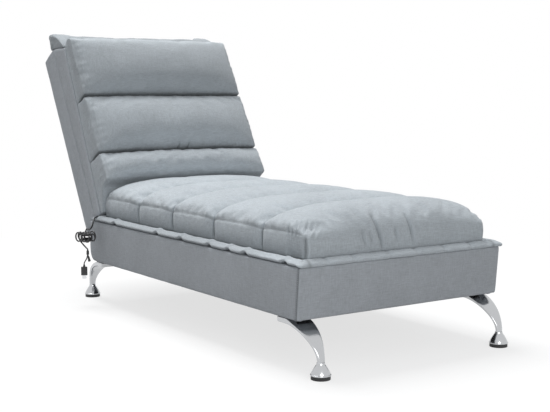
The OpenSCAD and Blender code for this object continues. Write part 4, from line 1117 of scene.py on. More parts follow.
def rounded_loop(half_x, low_y, high_y, corner_r, step, corner_steps=7):
    """A closed loop of (x, y, outward x, outward y), with the given step on its straight sides."""
    out = []
    corners = [(half_x, high_y, 0), (-half_x, high_y, 90), (-half_x, low_y, 180), (half_x, low_y, 270)]

    def arc_centre(x, y):
        return x - math.copysign(corner_r, x), y - (corner_r if y == high_y else -corner_r)

    for i, (x, y, start) in enumerate(corners):
        middle = Vector(arc_centre(x, y))
        for k in range(corner_steps + 1):
            a = math.radians(start + 90 * k / corner_steps)
            out.append((middle.x + corner_r * math.cos(a), middle.y + corner_r * math.sin(a), math.cos(a), math.sin(a)))
        next_x, next_y, next_start = corners[(i + 1) % 4]
        a = math.radians(next_start)
        next_x, next_y = arc_centre(next_x, next_y)
        following = Vector((next_x + corner_r * math.cos(a), next_y + corner_r * math.sin(a)))
        here = Vector(out[-1][:2])
        count = max(1, round((following - here).length / step))
        a = math.radians(start + 90)
        for k in range(1, count):
            p = here.lerp(following, k / count)
            out.append((p.x, p.y, math.cos(a), math.sin(a)))
    return np.array(out)


def lip_section():
    """(inset from the edge, share of the thickness), from the inner underside to the inner top."""
    under = [(LIP_WIDTH, 0.0), (0.036, 0.0), (0.022, 0.0), (0.012, 0.01), (0.006, 0.06)]
    edge = [(0.0020, 0.16), (0.0003, 0.40), (0.0005, 0.64), (0.0028, 0.86)]
    over = [(0.0070, 1.04), (0.0105, 1.18), (0.0145, 1.32), (0.0180, 1.40), (0.0205, 1.36),
            (0.0225, 1.15), (0.0242, 0.82), (0.030, 0.60), (0.041, 0.50), (LIP_WIDTH, 0.46)]
    return np.array(under + edge + over)


FRONT_HANG = 0.0042
TUCK_WIDTH, SCALLOP_WIDTH, SCALLOP_LIFT = 0.006, 0.010, 0.0058
lip_loop = rounded_loop(FLANGE_X, FLANGE_FRONT, FLANGE_REAR, corner_r=0.012, step=0.0042)
section = lip_section()
loop_x, loop_y = lip_loop[:, 0], lip_loop[:, 1]
on_side, on_front = np.abs(lip_loop[:, 2]) > 0.7, lip_loop[:, 3] < -0.7
tuck, scallop = np.zeros(len(lip_loop)), np.zeros(len(lip_loop))
for y in SIDE_TUCKS:
    tuck = np.maximum(tuck, on_side * bell(loop_y - y, TUCK_WIDTH))
    scallop = np.maximum(scallop, on_side * bell(loop_y - y - 0.004, SCALLOP_WIDTH))
for x in FRONT_TUCKS:
    tuck = np.maximum(tuck, on_front * 0.8 * bell(loop_x - x, TUCK_WIDTH))
lip_at = np.stack([loop_x, loop_y, np.full(len(lip_loop), FLANGE_TOP)], axis=1)
wave = noise_wave(lip_at, 0.11, seed=31)
fine_wave = noise_wave(lip_at, 0.035, seed=32)
lift = np.clip(0.0008 * wave + 0.0004, 0, 0.002) * (on_side + 0.4 * on_front) + SCALLOP_LIFT * scallop
plump = 1 - 0.32 * tuck + 0.06 * wave * on_side
end_gap = np.minimum(np.abs(loop_y - FLANGE_FRONT), np.abs(loop_y - FLANGE_REAR))
tip = bell(np.hypot(np.abs(loop_x) - FLANGE_X, end_gap), 0.011)
hang = on_front * (1 - 0.6 * tip) * (1 - 0.3 * tuck)
hanging = np.interp(section[:, 0], [0, 0.0022, 0.0055], [1, 0.9, 0]) * np.clip(1.25 - section[:, 1], 0, 1)
lip_rows = []
for i, (x, y, ox, oy) in enumerate(lip_loop):
    outer = 1 - eased(section[:, 0] / LIP_WIDTH)
    drawn_in = 0.0042 * tuck[i] - 0.0012 * wave[i] + 0.0006 * fine_wave[i] - 0.0075 * tip[i]
    inset = section[:, 0] + outer * drawn_in
    thick = (FLANGE_TOP - FLANGE_LOW) * section[:, 1] * mix(1, plump[i], outer)
    thick = thick * (1 - 0.35 * tip[i] * outer)
    z = FLANGE_LOW + thick + lift[i] * outer + 0.0004 * fine_wave[i] * outer * section[:, 1]
    lip_rows.append(np.stack([x - ox * inset, y - oy * inset, z - FRONT_HANG * hang[i] * hanging], axis=1))
flange = ring_loft("seat_flange_cover", lip_rows)
subdivide(flange)
points = coordinates(flange)
off_middle = np.abs(points[:, 0])
# Painted shade: the flange is darker along its sides towards the rear and where the cushion meets it.
on_lip_side = np.clip((points[:, 1] - FLANGE_FRONT - 0.04) / 0.35, 0, 1) * (off_middle > FLANGE_X - 0.060)
beside_front = bell(points[:, 1] - SEAT_FRONT + 0.002, 0.004) * (off_middle < SEAT_X + 0.002)
beside_cushion = np.maximum(bell(off_middle - SEAT_X - 0.004, 0.0045), beside_front)
in_seam(flange, 0.42 * on_lip_side + 0.6 * beside_cushion)
close_holes(flange)
hand_over(flange, seat_cloth, "seat_flange", body="base")
print("flange:", len(flange.data.polygons), "faces,", [round(float(v), 4) for v in coordinates(flange).max(axis=0)])

# %% [markdown]
# ## The base's cover
# Cloth is pulled over the plywood base, turned under the bottom edge and stapled there. Pulled
# cloth is nearly flat, but it isn't a box: the corners are soft, the sides swell by a millimetre or
# two between them, the front corners carry a vertical seam and the front leans back towards its
# foot. The loft's rows go round the base and its columns go up the side, from the hem underneath to
# the rim under the seat. A thin wall is given to it afterwards.

# %% Base cover
BASE_X = 0.300
BASE_FRONT, BASE_REAR = -0.6765, 0.3755
BASE_LOW, BASE_HIGH = 0.120, 0.237
BASE_HEIGHT = BASE_HIGH - BASE_LOW
FRONT_LEAN, LEAN_REACH = 0.010, 0.5
REAR_CORNER_R, REAR_CORNER_REACH = 0.030, 0.12
SIDE_FULLNESS, FULL_FROM_END = 0.0013, 0.05
HEM = 0.025
COVER_WALL = 0.0028
BASE_CORNER_R = 0.006
BASE_SEAM = 0.0014
HEM_BELOW = [(HEM, 0.0), (0.014, 0.0), (0.006, 0.0), (0.0022, 0.0006), (0.0005, 0.0025)]
SIDE_HEIGHTS = [(0.0, z) for z in np.linspace(0.007, 0.110, 12)]
HEM_ABOVE = [(0.0006, 0.1145), (0.0024, 0.1164), (0.006, 0.1170), (0.014, 0.1170), (HEM, 0.1170)]


def base_row(x, y, ox, oy):
    """One cut up the cover at a point of the loop; ox, oy is the way outwards."""
    from_end = abs(abs(x) - BASE_X) if abs(oy) > 0.7 else min(y - BASE_FRONT, BASE_REAR - y)
    ends = min(1.0, min(from_end, FULL_FROM_END) / FULL_FROM_END)
    row = []
    for inset, up in HEM_BELOW + SIDE_HEIGHTS + HEM_ABOVE:
        swell = SIDE_FULLNESS * math.sin(math.pi * min(max(up / BASE_HEIGHT, 0), 1)) * ends
        px, py = x - ox * inset + ox * swell, y - oy * inset + oy * swell
        py += FRONT_LEAN * (1 - up / BASE_HEIGHT) * max(0, 1 - (py - BASE_FRONT) / LEAN_REACH)
        if up < REAR_CORNER_R and (oy > 0.7 or py > BASE_REAR - REAR_CORNER_REACH):
            rounded = REAR_CORNER_R - math.sqrt(max(0, REAR_CORNER_R ** 2 - (REAR_CORNER_R - up) ** 2))
            py -= rounded * max(0, 1 - (BASE_REAR - py) / REAR_CORNER_REACH)
        row.append((px, py, BASE_LOW + up))
    return row


base_loop = rounded_loop(BASE_X, BASE_FRONT, BASE_REAR, BASE_CORNER_R, step=0.010)
base_cover = ring_loft("base_cover_cloth", [base_row(*spot) for spot in base_loop])
points = coordinates(base_cover)
front_foot, rear_edge = BASE_FRONT + FRONT_LEAN + 0.004, BASE_REAR - 0.012
outer_side = (np.abs(points[:, 0]) > BASE_X - 0.004) | (points[:, 1] < front_foot) | (points[:, 1] > rear_edge)
sag = 0.0007 * noise_wave(points, 0.25, seed=41) + 0.0003 * noise_wave(points, 0.06, seed=42)
sunk(base_cover, np.where(outer_side, np.abs(sag), 0))
thicken(base_cover, COVER_WALL)
subdivide(base_cover)
low, high = coordinates(base_cover).min(axis=0), coordinates(base_cover).max(axis=0)
print("base cover:", len(base_cover.data.polygons), "faces", np.round(low, 4), np.round(high, 4))

# %% [markdown]
# The back's two steel arms come out through slots in the cover's rear. Each slot is cut with a
# Boolean, which leaves a clean hem edge. Then a vertical seam is pressed in at both front corners and given a painted
# shade.

# %% Slots and corner seams
def block(name, low, high):
    x0, y0, z0 = low
    x1, y1, z1 = high
    points = [(x, y, z) for x in (x0, x1) for y in (y0, y1) for z in (z0, z1)]
    faces = [(0, 1, 3, 2), (4, 6, 7, 5), (0, 4, 5, 1), (2, 3, 7, 6), (0, 2, 6, 4), (1, 5, 7, 3)]
    return outward(new_object(name, points, faces))


def cut_away(obj, cutters):
    for cutter in cutters:
        mod = obj.modifiers.new("cut", "BOOLEAN")
        mod.operation = "DIFFERENCE"
        mod.solver = "EXACT"
        mod.object = cutter
    apply_modifiers(obj)
    for cutter in cutters:
        bpy.data.objects.remove(cutter)
    return obj


ARM_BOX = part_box("hinge_arm_left")
SLOT_LOW, SLOT_HIGH = 0.163, 0.2335


def arm_span(side, outer, inner):
    """The stretch that an arm takes up across the chair, with a clearance past its outer and inner face."""
    return sorted((side * (abs(ARM_BOX[0][0]) + outer), side * (abs(ARM_BOX[1][0]) - inner)))


slot_blocks = []
for side in (-1, 1):
    near_x, far_x = arm_span(side, 0.003, 0.010)
    slot_blocks.append(block("slot", (near_x, BASE_REAR - HEM - 0.001, SLOT_LOW), (far_x, BASE_REAR + 0.01, SLOT_HIGH)))
cut_away(base_cover, slot_blocks)
points = coordinates(base_cover)
front_line = BASE_FRONT + FRONT_LEAN * (BASE_HIGH - points[:, 2]) / BASE_HEIGHT + 0.0050
for side in (-1, 1):
    from_corner = np.abs(points[:, 0] - side * (BASE_X - 0.001)) + np.abs(points[:, 1] - front_line)
    points[:, 0] -= side * BASE_SEAM * bell(from_corner, 0.0026)
    # Painted shade along the corner seam.
    in_seam(base_cover, bell(from_corner, 0.0034))
set_coordinates(base_cover, points)
hand_over(base_cover, shaded_side_cloth, "base_cover", body="base")
print("arm box", [[round(v, 4) for v in c] for c in ARM_BOX])

# %% [markdown]
# ## The dust cover underneath
# Thin black cloth closes the underside and is stapled round its edge. It is one sheet, pulled
# nearly flat, and it sags by a millimetre between the rails.

# %% Dust cover
dust_low, dust_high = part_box("dust_cover")
DUST_ACROSS, DUST_ALONG, BAYS = 56, 100, 3
DUST_SAG, DUST_RAISED, DUST_WALL = 0.0011, 0.0016, 0.0004
dust_points = []
for j in range(DUST_ALONG + 1):
    for i in range(DUST_ACROSS + 1):
        x = mix(dust_low[0], dust_high[0], i / DUST_ACROSS)
        y = mix(dust_low[1], dust_high[1], j / DUST_ALONG)
        in_bay = abs(math.sin(BAYS * math.pi * j / DUST_ALONG)) ** 0.5
        sag = DUST_SAG * math.sin(math.pi * i / DUST_ACROSS) ** 0.5 * in_bay
        dust_points.append((x, y, dust_low[2] + DUST_RAISED - sag))
dust_cover = new_object("dust_cover_sheet", dust_points, skin_faces(DUST_ALONG + 1, DUST_ACROSS + 1, closed=False))
thicken(dust_cover, DUST_WALL, offset=0)
outward(dust_cover)
hand_over(dust_cover, under_cloth, "dust_cover", body="base")

# %% [markdown]
# ## The back's own frame
# The back leans by 29.8 degrees about its pivots. Its pieces are drawn upright, with depth to the
# rear and height up the slope measured from the pivots, and are turned into place point by point.

# %% From the back's frame to the chair's
PIVOT_Y, PIVOT_Z = 0.3585, 0.213
BACK_X = 0.278
BACK_LOW, BACK_TOP = 0.0215, 0.6135
REAR_F, SLAB_F = 0.0854, 0.0094
BORDER_F, BORDER_LOW_F, BORDER_TOP_F = 0.0089, -0.0271, -0.0651
BORDER_LOW_Z, BORDER_TOP_Z = 0.034, 0.5745
BORDER_WALL = 0.010
CREASE_F = -0.1070
CREASE_Z = (0.194, 0.384)
PILLOW_TOP_Z = 0.5915
PILLOW_RISE = 0.050
PILLOW_X = BACK_X - 0.004
SOFT_GAP = 0.0004


def on_back(points):
    points = np.asarray(points, float)
    y = PIVOT_Y + points[..., 1] * math.cos(LEAN) + points[..., 2] * math.sin(LEAN)
    z = PIVOT_Z - points[..., 1] * math.sin(LEAN) + points[..., 2] * math.cos(LEAN)
    return np.stack([points[..., 0], y, z], axis=-1)


def in_back_frame(points):
    y, z = points[..., 1] - PIVOT_Y, points[..., 2] - PIVOT_Z
    depth, height = y * math.cos(LEAN) - z * math.sin(LEAN), y * math.sin(LEAN) + z * math.cos(LEAN)
    return np.stack([points[..., 0], depth, height], axis=-1)


def border_front(z):
    return mix(BORDER_LOW_F, BORDER_TOP_F, (z - BORDER_LOW_Z) / (BORDER_TOP_Z - BORDER_LOW_Z))


# %% [markdown]
# ## Three pillows
# The back's pillows are one topper, sewn across twice, so three fat rolls sit on each other and
# meet in deep creases. Each is its own piece: its rows are cuts from one side to the other, and
# its ends are the upright side faces. The front of each cut is a full curve that bulges most just
# above its lower crease, because the filling settles. The stuffing pass holds the back and the
# creases, so the spare cloth gathers beside them.

# %% Pillow lofts
def pillow_stations(count=64):
    """Shares of the half width, closer together near both ends."""
    u = np.linspace(-1, 1, count + 1)
    return np.sign(u) * (1 - (1 - np.abs(u)) ** 1.35)


def end_fall(share, power=5):
    return (1 - 0.34 * abs(share) ** 2.5) * math.sqrt(max(0.0, 1 - abs(share) ** power))


def chain(pieces):
    """Joins polylines, each resampled to its own count, without repeated points."""
    parts = [resampled(points, count)[:-1] for points, count in pieces[:-1]]
    return np.vstack(parts + [resampled(*pieces[-1])])


def middle_cut(share):
    low, high = CREASE_Z[0] + SOFT_GAP / 2, CREASE_Z[1] - SOFT_GAP / 2
    rise = PILLOW_RISE * end_fall(share)
    fullest = CREASE_F - 1.3 * rise
    front = bezier([(CREASE_F, low), (fullest, low), (fullest, mix(high, low, 0.2)), (CREASE_F, high)], 60)
    back_low, back_high = (border_front(low) - SOFT_GAP, low), (border_front(high) - SOFT_GAP, high)
    pieces = [([back_low, front[0]], 7), (front, 34), ([front[-1], back_high], 6), ([back_high, back_low], 10)]
    return chain(pieces)[:-1]


def top_cut(share):
    low = CREASE_Z[1] + SOFT_GAP / 2
    rise = PILLOW_RISE * end_fall(share)
    lip = (CREASE_F - 0.3 * rise, PILLOW_TOP_Z - 0.016)
    shoulder = (CREASE_F - 1.1 * rise, mix(low, PILLOW_TOP_Z, 0.75))
    front = bezier([(CREASE_F, low), (CREASE_F - 1.25 * rise, low), shoulder, lip], 60)
    end = (BORDER_TOP_F - 0.0005, BORDER_TOP_Z + 0.002)
    near_lip = (mix(CREASE_F, BORDER_TOP_F, 0.15), PILLOW_TOP_Z)
    over = bezier([lip, near_lip, (mix(CREASE_F, BORDER_TOP_F, 0.5), PILLOW_TOP_Z + 0.002), end], 30)
    back_low = (border_front(low) - SOFT_GAP, low)
    return chain([([back_low, front[0]], 7), (np.vstack([front, over[1:]]), 42), ([end, back_low], 10)])[:-1]


SEAT_TOP_Z = 0.360
BEHIND_SEAT = SEAT_REAR + 0.0015
under_rear = in_back_frame(np.array([
    [0, BEHIND_SEAT, FLANGE_TOP + 0.013], [0, BEHIND_SEAT, SEAT_TOP_Z - 0.024],
    [0, SEAT_REAR - 0.030, SEAT_TOP_Z + 0.0005]
]))[:, 1:]


def lower_cut(share):
    high = CREASE_Z[0] - SOFT_GAP / 2
    rise = PILLOW_RISE * end_fall(share)
    rest = under_rear[2]
    fullest = (CREASE_F - 1.25 * rise, mix(high, rest[1], 0.3))
    front = bezier([rest, rest - [0.9 * rise, 0], fullest, (CREASE_F, high)], 60)
    foot = (border_front(BORDER_LOW_Z + SOFT_GAP) - SOFT_GAP, BORDER_LOW_Z + SOFT_GAP)
    back_high = (border_front(high) - SOFT_GAP, high)
    return chain([([foot, under_rear[0]], 3), ([under_rear[0], under_rear[1], rest], 9), (front, 24),
                  ([front[-1], back_high], 6), ([back_high, foot], 10)])[:-1]


def cut_rows(cut, shares, half_width):
    """The cuts at given shares of the half width, in their place on the leaning back."""
    rows = []
    for share in shares:
        flat = cut(share)
        rows.append(on_back(np.column_stack([np.full(len(flat), share * half_width), flat])))
    return rows


def pillow(name, cut, front_columns):
    """A stuffed pillow; only the columns between the two given ones are free to swell."""
    shares = list(pillow_stations())
    rows = cut_rows(cut, shares, PILLOW_X)
    made = soft_loft(name, rows, shares, list(range(len(rows[0]))), cap_steps=5)
    first, last = front_columns
    column = remembered(made, "column_place")
    inside = (column > first + 0.5) & (column < last - 0.5)
    end_face = np.abs(in_back_frame(coordinates(made))[:, 0]) > PILLOW_X - 0.0015
    held = np.where(inside, np.where(end_face, 0.9, 0.0), 1.0)
    stuffed(made, held, spare=0.016, most=0.006)
    return subdivide(made)


top_pillow = pillow("back_pillow_top_cover", top_cut, (7, 49))
middle_pillow = pillow("back_pillow_middle_cover", middle_cut, (7, 41))
lower_pillow = pillow("back_pillow_lower_cover", lower_cut, (12, 36))
print("pillows:", [len(p.data.polygons) for p in (top_pillow, middle_pillow, lower_pillow)])

# %% [markdown]
# Along each crease the cloth is gathered by the stitching, so fine ripples fan out from it and
# fade within a few centimetres. The side seams do the same on a smaller scale. Under the middle
# pillow's centre sit two small tucks. The creases, the cloth just above them and the tucks get a
# painted shade. The fronts of the top and middle pillow get a painted shade too, which makes them
# slightly darker than the lower one and matches the tones of the photograph.

# %% Gathers on the pillows
TUCKS = [(-0.012, 0.022, 0.0075), (0.022, 0.027, 0.0075)]
TUCK_SLANT = 0.25


def gather(obj, creases, seed, front_shade):
    local = in_back_frame(coordinates(obj))
    x, z = local[:, 0], local[:, 2]
    front = np.clip((border_front(z) - 0.006 - local[:, 1]) / 0.02, 0, 1)
    amount = 0.0010 * noise_wave(local, 0.16, seed) * front
    for crease in creases:
        above, away = np.clip(z - crease, 0, None), np.abs(z - crease)
        wave = ripple(x, 0.018, 2.6 * noise_wave(local, 0.10, seed + 1))
        amount += 0.0005 * wave * bell(away - 0.012, 0.014) * front
        amount += 0.0030 * bell(away, 0.004) * front
        # Painted shade in the crease and on the cloth just above it.
        in_seam(obj, front * (0.30 * bell(above, 0.030) * (z > crease) + 0.6 * bell(away, 0.0035)))
    end = np.abs(np.abs(x) - PILLOW_X + 0.003)
    ends_wave = ripple(z, 0.022, 2.0 * noise_wave(local, 0.09, seed + 2))
    amount += front * (0.0005 * ends_wave * bell(end - 0.014, 0.012) + 0.0016 * bell(end - 0.002, 0.0035))
    # Painted shade over the pillow's front, by the given amount.
    in_seam(obj, front_shade * front)
    return sunk(obj, amount)


gather(top_pillow, [CREASE_Z[1]], seed=51, front_shade=0.30)
gather(middle_pillow, CREASE_Z, seed=54, front_shade=0.16)
gather(lower_pillow, [CREASE_Z[0]], seed=57, front_shade=0.0)
for x, length, depth in TUCKS:
    points = coordinates(middle_pillow)
    local = in_back_frame(points)
    up = local[:, 2] - CREASE_Z[0]
    tucked = np.clip(1 - up / length, 0, 1) * (local[:, 1] < CREASE_F + 0.01)
    set_coordinates(middle_pillow, drawn_to(points, x + TUCK_SLANT * up, tucked))
    near_tuck = bell(coordinates(middle_pillow)[:, 0] - x - TUCK_SLANT * up, 0.0028)
    sunk(middle_pillow, depth * tucked * near_tuck)
    # Painted shade in each tuck.
    in_seam(middle_pillow, 0.9 * tucked * near_tuck)
for piece, place in ((top_pillow, "top"), (middle_pillow, "middle"), (lower_pillow, "lower")):
    hand_over(piece, back_cloth, "back_pillow_" + place, body="back")

# %% [markdown]
# ## The slab, its border and the top flap
# Behind the pillows the back is a padded slab. A wedge-shaped border runs round its front, thicker
# at the top, and a flap of the topper is folded over the slab's upper edge with a raised ear at
# each corner. The slab's cover is built like the base's: rows round the slab's edge, columns from
# the open front round to the middle of the rear.

# %% Slab cover
SLAB_EDGE = 0.005
SLAB_WALL = 0.0026
SLAB_DEPTH = REAR_F - SLAB_F
SIDE_SWELL, REAR_SWELL = 0.0012, 0.0009
side_depths = [0.0, 0.003, 0.009] + list(np.linspace(0.016, 0.064, 8)) + [0.0695]
slab_rows = []
for x, z, ox, oz in rounded_loop(BACK_X, BACK_LOW, BACK_TOP, corner_r=0.007, step=0.010):
    row = []
    for f in side_depths:
        swell = SIDE_SWELL * math.sin(math.pi * f / SLAB_DEPTH)
        row.append((x + ox * swell, SLAB_F + f, z + oz * swell))
    for degrees in (18, 36, 54, 72, 90):
        a = math.radians(degrees)
        inset = SLAB_EDGE - SLAB_EDGE * math.cos(a)
        row.append((x - ox * inset, REAR_F - SLAB_EDGE + SLAB_EDGE * math.sin(a), z - oz * inset))
    centre_z = min(max(z, BACK_LOW + BACK_X), BACK_TOP - BACK_X)
    for inset in (0.010, 0.020, 0.036, 0.060, 0.100, 0.160, 0.230):
        keep = 1 - inset / BACK_X
        swell = REAR_SWELL * math.sin(math.pi * min(inset / BACK_X, 1) / 2)
        row.append((x * keep, REAR_F + swell, centre_z + (z - centre_z) * keep))
    row.append((0.0, REAR_F + REAR_SWELL, centre_z))
    slab_rows.append(on_back(row))
slab_cover = ring_loft("back_cover_cloth", slab_rows)
local = in_back_frame(coordinates(slab_cover))
uneven = 0.0006 * noise_wave(local, 0.25, seed=61) + 0.0003 * noise_wave(local, 0.05, seed=62)
sunk(slab_cover, np.abs(uneven) * (local[:, 1] > SLAB_F + 0.006))
thicken(slab_cover, SLAB_WALL)
subdivide(slab_cover)
arm_blocks = []
for side in (-1, 1):
    near_x, far_x = arm_span(side, 0.001, 0.006)
    arm_blocks.append(block("arm_space", (near_x, 0.0, 0.010), (far_x, 0.064, 0.119)))
    set_coordinates(arm_blocks[-1], on_back(coordinates(arm_blocks[-1])))
cut_away(slab_cover, arm_blocks)
# Painted shade along the slab's top edge.
below_top = BACK_TOP - in_back_frame(coordinates(slab_cover))[:, 2]
in_seam(slab_cover, 0.5 * np.clip(1 - below_top / 0.003, 0, 1))
hand_over(slab_cover, back_shaded_side_cloth, "back_cover", body="back")
print("slab cover:", len(slab_cover.data.polygons), "faces")

# %% Border
BORDER_EDGE = 0.0035
SIDE_CUTS, END_CUTS = 60, 40


def towards(corner, other):
    """A point a rounding's length away from a corner, on the way to another one."""
    gap = np.linalg.norm(other - corner)
    return corner + (other - corner) / gap * min(BORDER_EDGE, 0.4 * gap)


def wall_section(outer_rear, outer_front, inner_front, inner_rear, bulge=0.0016):
    """A padded wall's section between four corners, with rounded corners and a slightly full outer face."""
    corners = [np.asarray(c, float) for c in (outer_rear, outer_front, inner_front, inner_rear)]
    out = []
    outward_way = corners[1] - corners[2]
    outward_way /= np.linalg.norm(outward_way)
    for i, corner in enumerate(corners):
        before, after = corners[i - 1], corners[(i + 1) % 4]
        a, b = towards(corner, before), towards(corner, after)
        for f in (0, 0.33, 0.67, 1):
            out.append((1 - f) ** 2 * a + 2 * f * (1 - f) * corner + f * f * b)
        steps = 6 if i in (0, 2) else 2
        for k in range(1, steps):
            p = mix(b, towards(after, corner), k / steps)
            if i == 0:
                p = p + outward_way * bulge * math.sin(math.pi * k / steps)
            out.append(p)
    return np.array(out)


inner_low = BORDER_LOW_Z + BORDER_WALL
drop = BORDER_WALL * math.hypot(1, (BACK_TOP - BORDER_TOP_Z) / (BORDER_F - BORDER_TOP_F))


def side_row(x_sign, f):
    """A cut through a side wall; f runs from 0 at its mitred foot to 1 at its mitred head."""
    out_x, in_x = x_sign * BACK_X, x_sign * (BACK_X - BORDER_WALL)
    zo_rear, zo_front = mix(BORDER_LOW_Z, BACK_TOP, f), mix(BORDER_LOW_Z, BORDER_TOP_Z, f)
    zi_rear, zi_front = mix(inner_low, BACK_TOP - drop, f), mix(inner_low, BORDER_TOP_Z - drop, f)
    return wall_section((out_x, BORDER_F, zo_rear), (out_x, border_front(zo_front), zo_front),
                        (in_x, border_front(zi_front), zi_front), (in_x, BORDER_F, zi_rear))


border_rows = []
for side, end in ((-1, 1.0), (1, 0.0)):
    for f in np.linspace(1 - end, end, SIDE_CUTS):
        border_rows.append(side_row(side, f))
    for f in np.linspace(0, 1, END_CUTS)[1:-1]:
        border_rows.append(mix(side_row(side, end), side_row(-side, end), f))
border = ring_loft("back_border_cover", [on_back(row) for row in border_rows], closed=True)
local = in_back_frame(coordinates(border))
uneven = np.abs(0.0008 * noise_wave(local, 0.12, seed=71)) + 0.0004 * noise_wave(local, 0.04, seed=72)
sunk(border, uneven)
subdivide(border)
hand_over(border, back_shaded_side_cloth, "back_border", body="back")
print("border:", len(border.data.polygons), "faces")

# %% Top flap
EAR_IN, EAR_TIP, FLAP_EDGE = 0.085, 0.012, 0.004
FLAP_RISE, EAR_RISE, TIP_DROP = 0.016, 0.056, 0.009
FLAP_SHADE = 0.62


def flap_cut(share):
    from_end = BACK_X - abs(share) * BACK_X
    out = max(0.0, (EAR_IN - from_end) / EAR_IN)
    f = 0.5 - 0.5 * math.cos(math.pi * min(1.0, out * 1.45))
    tip = min(1.0, max(0.0, (EAR_TIP - from_end) / EAR_TIP))
    crest = np.array((mix(SLAB_F - 0.048, SLAB_F + FLAP_EDGE, f),
                      BACK_TOP + mix(FLAP_RISE, EAR_RISE, f) - TIP_DROP * (1 - math.sqrt(1 - tip * tip))))
    fold = mix(0.5, 1.3, f) * FLAP_EDGE
    foot = np.array((BORDER_TOP_F, BORDER_TOP_Z + SOFT_GAP))
    tail = np.array((SLAB_F + 3 * FLAP_EDGE, BACK_TOP + SOFT_GAP))
    rear = np.array((BORDER_F, BACK_TOP + SOFT_GAP))
    low_bend, high_bend = mix(foot, crest, 0.3) + [-0.012, 0.014], mix(foot, crest, 0.8) + [-0.009, 0.011]
    front = bezier([foot, low_bend, high_bend, crest - [fold, fold / 2]], 20)
    over, beyond = crest + [-fold / 2, fold / 4], crest + [fold / 2, fold / 4]
    ridge = bezier([front[-1], over, beyond, crest + [fold, -fold / 2]], 8)
    high_bend, low_bend = mix(crest, tail, 0.3) - [0.001, 0.003], mix(crest, tail, 0.7) - [0.002, 0.003]
    behind = bezier([ridge[-1], high_bend, low_bend, tail], 16)
    return chain([(front, 12), (ridge, 4), (behind, 12), ([tail, rear], 2), ([rear, foot], 9)])[:-1]


flap_shares = list(pillow_stations(72))
flap_rows = cut_rows(flap_cut, flap_shares, BACK_X)
flap = soft_loft("back_top_flap_cover", flap_rows, flap_shares, list(range(len(flap_rows[0]))), cap_steps=3)
local = in_back_frame(coordinates(flap))
column = remembered(flap, "column_place")
loose = (column > 1) & (column < 27)
crest_wave = 0.0022 * noise_wave(local, 0.10, seed=81) + 0.0008 * noise_wave(local, 0.03, seed=82)
sunk(flap, np.where(loose, crest_wave, 0))
subdivide(flap)
# A painted shade darkens the whole flap.
in_seam(flap, np.full(len(flap.data.vertices), FLAP_SHADE))
hand_over(flap, back_cloth, "back_top_flap", body="back")
print("top flap:", len(flap.data.polygons), "faces")

# %% [markdown]
# ## Legs and feet
# Each leg is a chrome-plated casting. A slim neck stands on the foot, and it sweeps inward and
# widens into a flat plate under the base. It could be pressed from sheet, but the photograph shows
# soft edges with no seam, so it is lofted: oval cuts at the neck turn slowly into cuts with nearly
# square corners at the plate. Two recesses from below take the screw heads.

# %% Leg lofts
LEG_X, FRONT_LEG_Y, REAR_LEG_Y = 0.267, -0.7095, 0.4325
NECK_Z, LEG_TOP, PLATE_LOW, PLATE_START, PLATE_END = 0.036, 0.120, 0.1055, 0.090, 0.125
SCREW_PLACES, SCREW_IN, HEAD_D, HEAD_LOW, HEAD_TOP = (0.098, 0.115), 0.014, 0.012, 0.08, 0.1085
LEG_CURVE_CUTS, LEG_SIDES, HEAD_SIDES = 46, 44, 28
NECK_SQUARENESS, PLATE_SQUARENESS = 2.6, 7.0
LEG_OUTER = bezier([(-0.0055, NECK_Z), (-0.0055, 0.072), (0.0378, 0.1044), (PLATE_START, LEG_TOP)], LEG_CURVE_CUTS)
LEG_INNER = bezier([(0.0045, NECK_Z), (0.0045, 0.0686), (0.045, 0.1013), (PLATE_START, PLATE_LOW)], LEG_CURVE_CUTS)
LEG_WIDTHS = bezier([(0.009, NECK_Z), (0.009, 0.0624), (0.019, 0.0804), (0.028, 0.1104)], 60)


def half_width(z):
    return np.interp(z, LEG_WIDTHS[:, 1], LEG_WIDTHS[:, 0])


def ring_angles(count):
    return np.linspace(0, 2 * math.pi, count, endpoint=False)


def leg_cuts():
    """Each cut is (outer point, inner point, squareness, shrink)."""
    cuts = []
    for k, (outer, inner) in enumerate(zip(LEG_OUTER, LEG_INNER)):
        square = mix(NECK_SQUARENESS, PLATE_SQUARENESS, eased(k / (LEG_CURVE_CUTS - 1)))
        cuts.append((outer, inner, square, 0.0))
    ends = [(0.100, 0), (0.110, 0), (0.119, 0), (0.1235, 0.0002), (0.1246, 0.0007), (PLATE_END, 0.0018)]
    for a, shrink in ends:
        cuts.append((np.array([a, LEG_TOP]), np.array([a, PLATE_LOW]), PLATE_SQUARENESS, shrink))
    return cuts


def leg_mesh(name, place, rear_end, screw_way):
    angles = ring_angles(LEG_SIDES)
    rows = []
    for outer, inner, square, shrink in leg_cuts():
        c = np.sign(np.cos(angles)) * np.abs(np.cos(angles)) ** (2 / square)
        s = np.sign(np.sin(angles)) * np.abs(np.sin(angles)) ** (2 / square)
        middle, half = (outer + inner) / 2, (outer - inner) / 2
        length = np.linalg.norm(half)
        flat = middle + s[:, None] * half * (1 - shrink / length)
        rows.append(np.column_stack([c * (half_width(flat[:, 1]) - shrink), flat]))
    points = np.concatenate(rows + [rows[0].mean(axis=0)[None], rows[-1].mean(axis=0)[None]])
    leg = outward(new_object(name, points, capped_faces(len(rows), LEG_SIDES)))
    cutters = []
    for a in SCREW_PLACES:
        ring = [(screw_way * SCREW_IN + HEAD_D / 2 * math.cos(t), a + HEAD_D / 2 * math.sin(t))
                for t in ring_angles(HEAD_SIDES)]
        walls = [(x, y, z) for z in (HEAD_LOW, HEAD_TOP) for x, y in ring]
        ends = [tuple(range(HEAD_SIDES)), tuple(range(HEAD_SIDES, 2 * HEAD_SIDES))]
        cutters.append(outward(new_object("head_space", walls, skin_faces(2, HEAD_SIDES) + ends)))
    cut_away(leg, cutters)
    points = coordinates(leg)
    if rear_end:
        points[:, :2] *= -1
    set_coordinates(leg, points + place)
    return leg


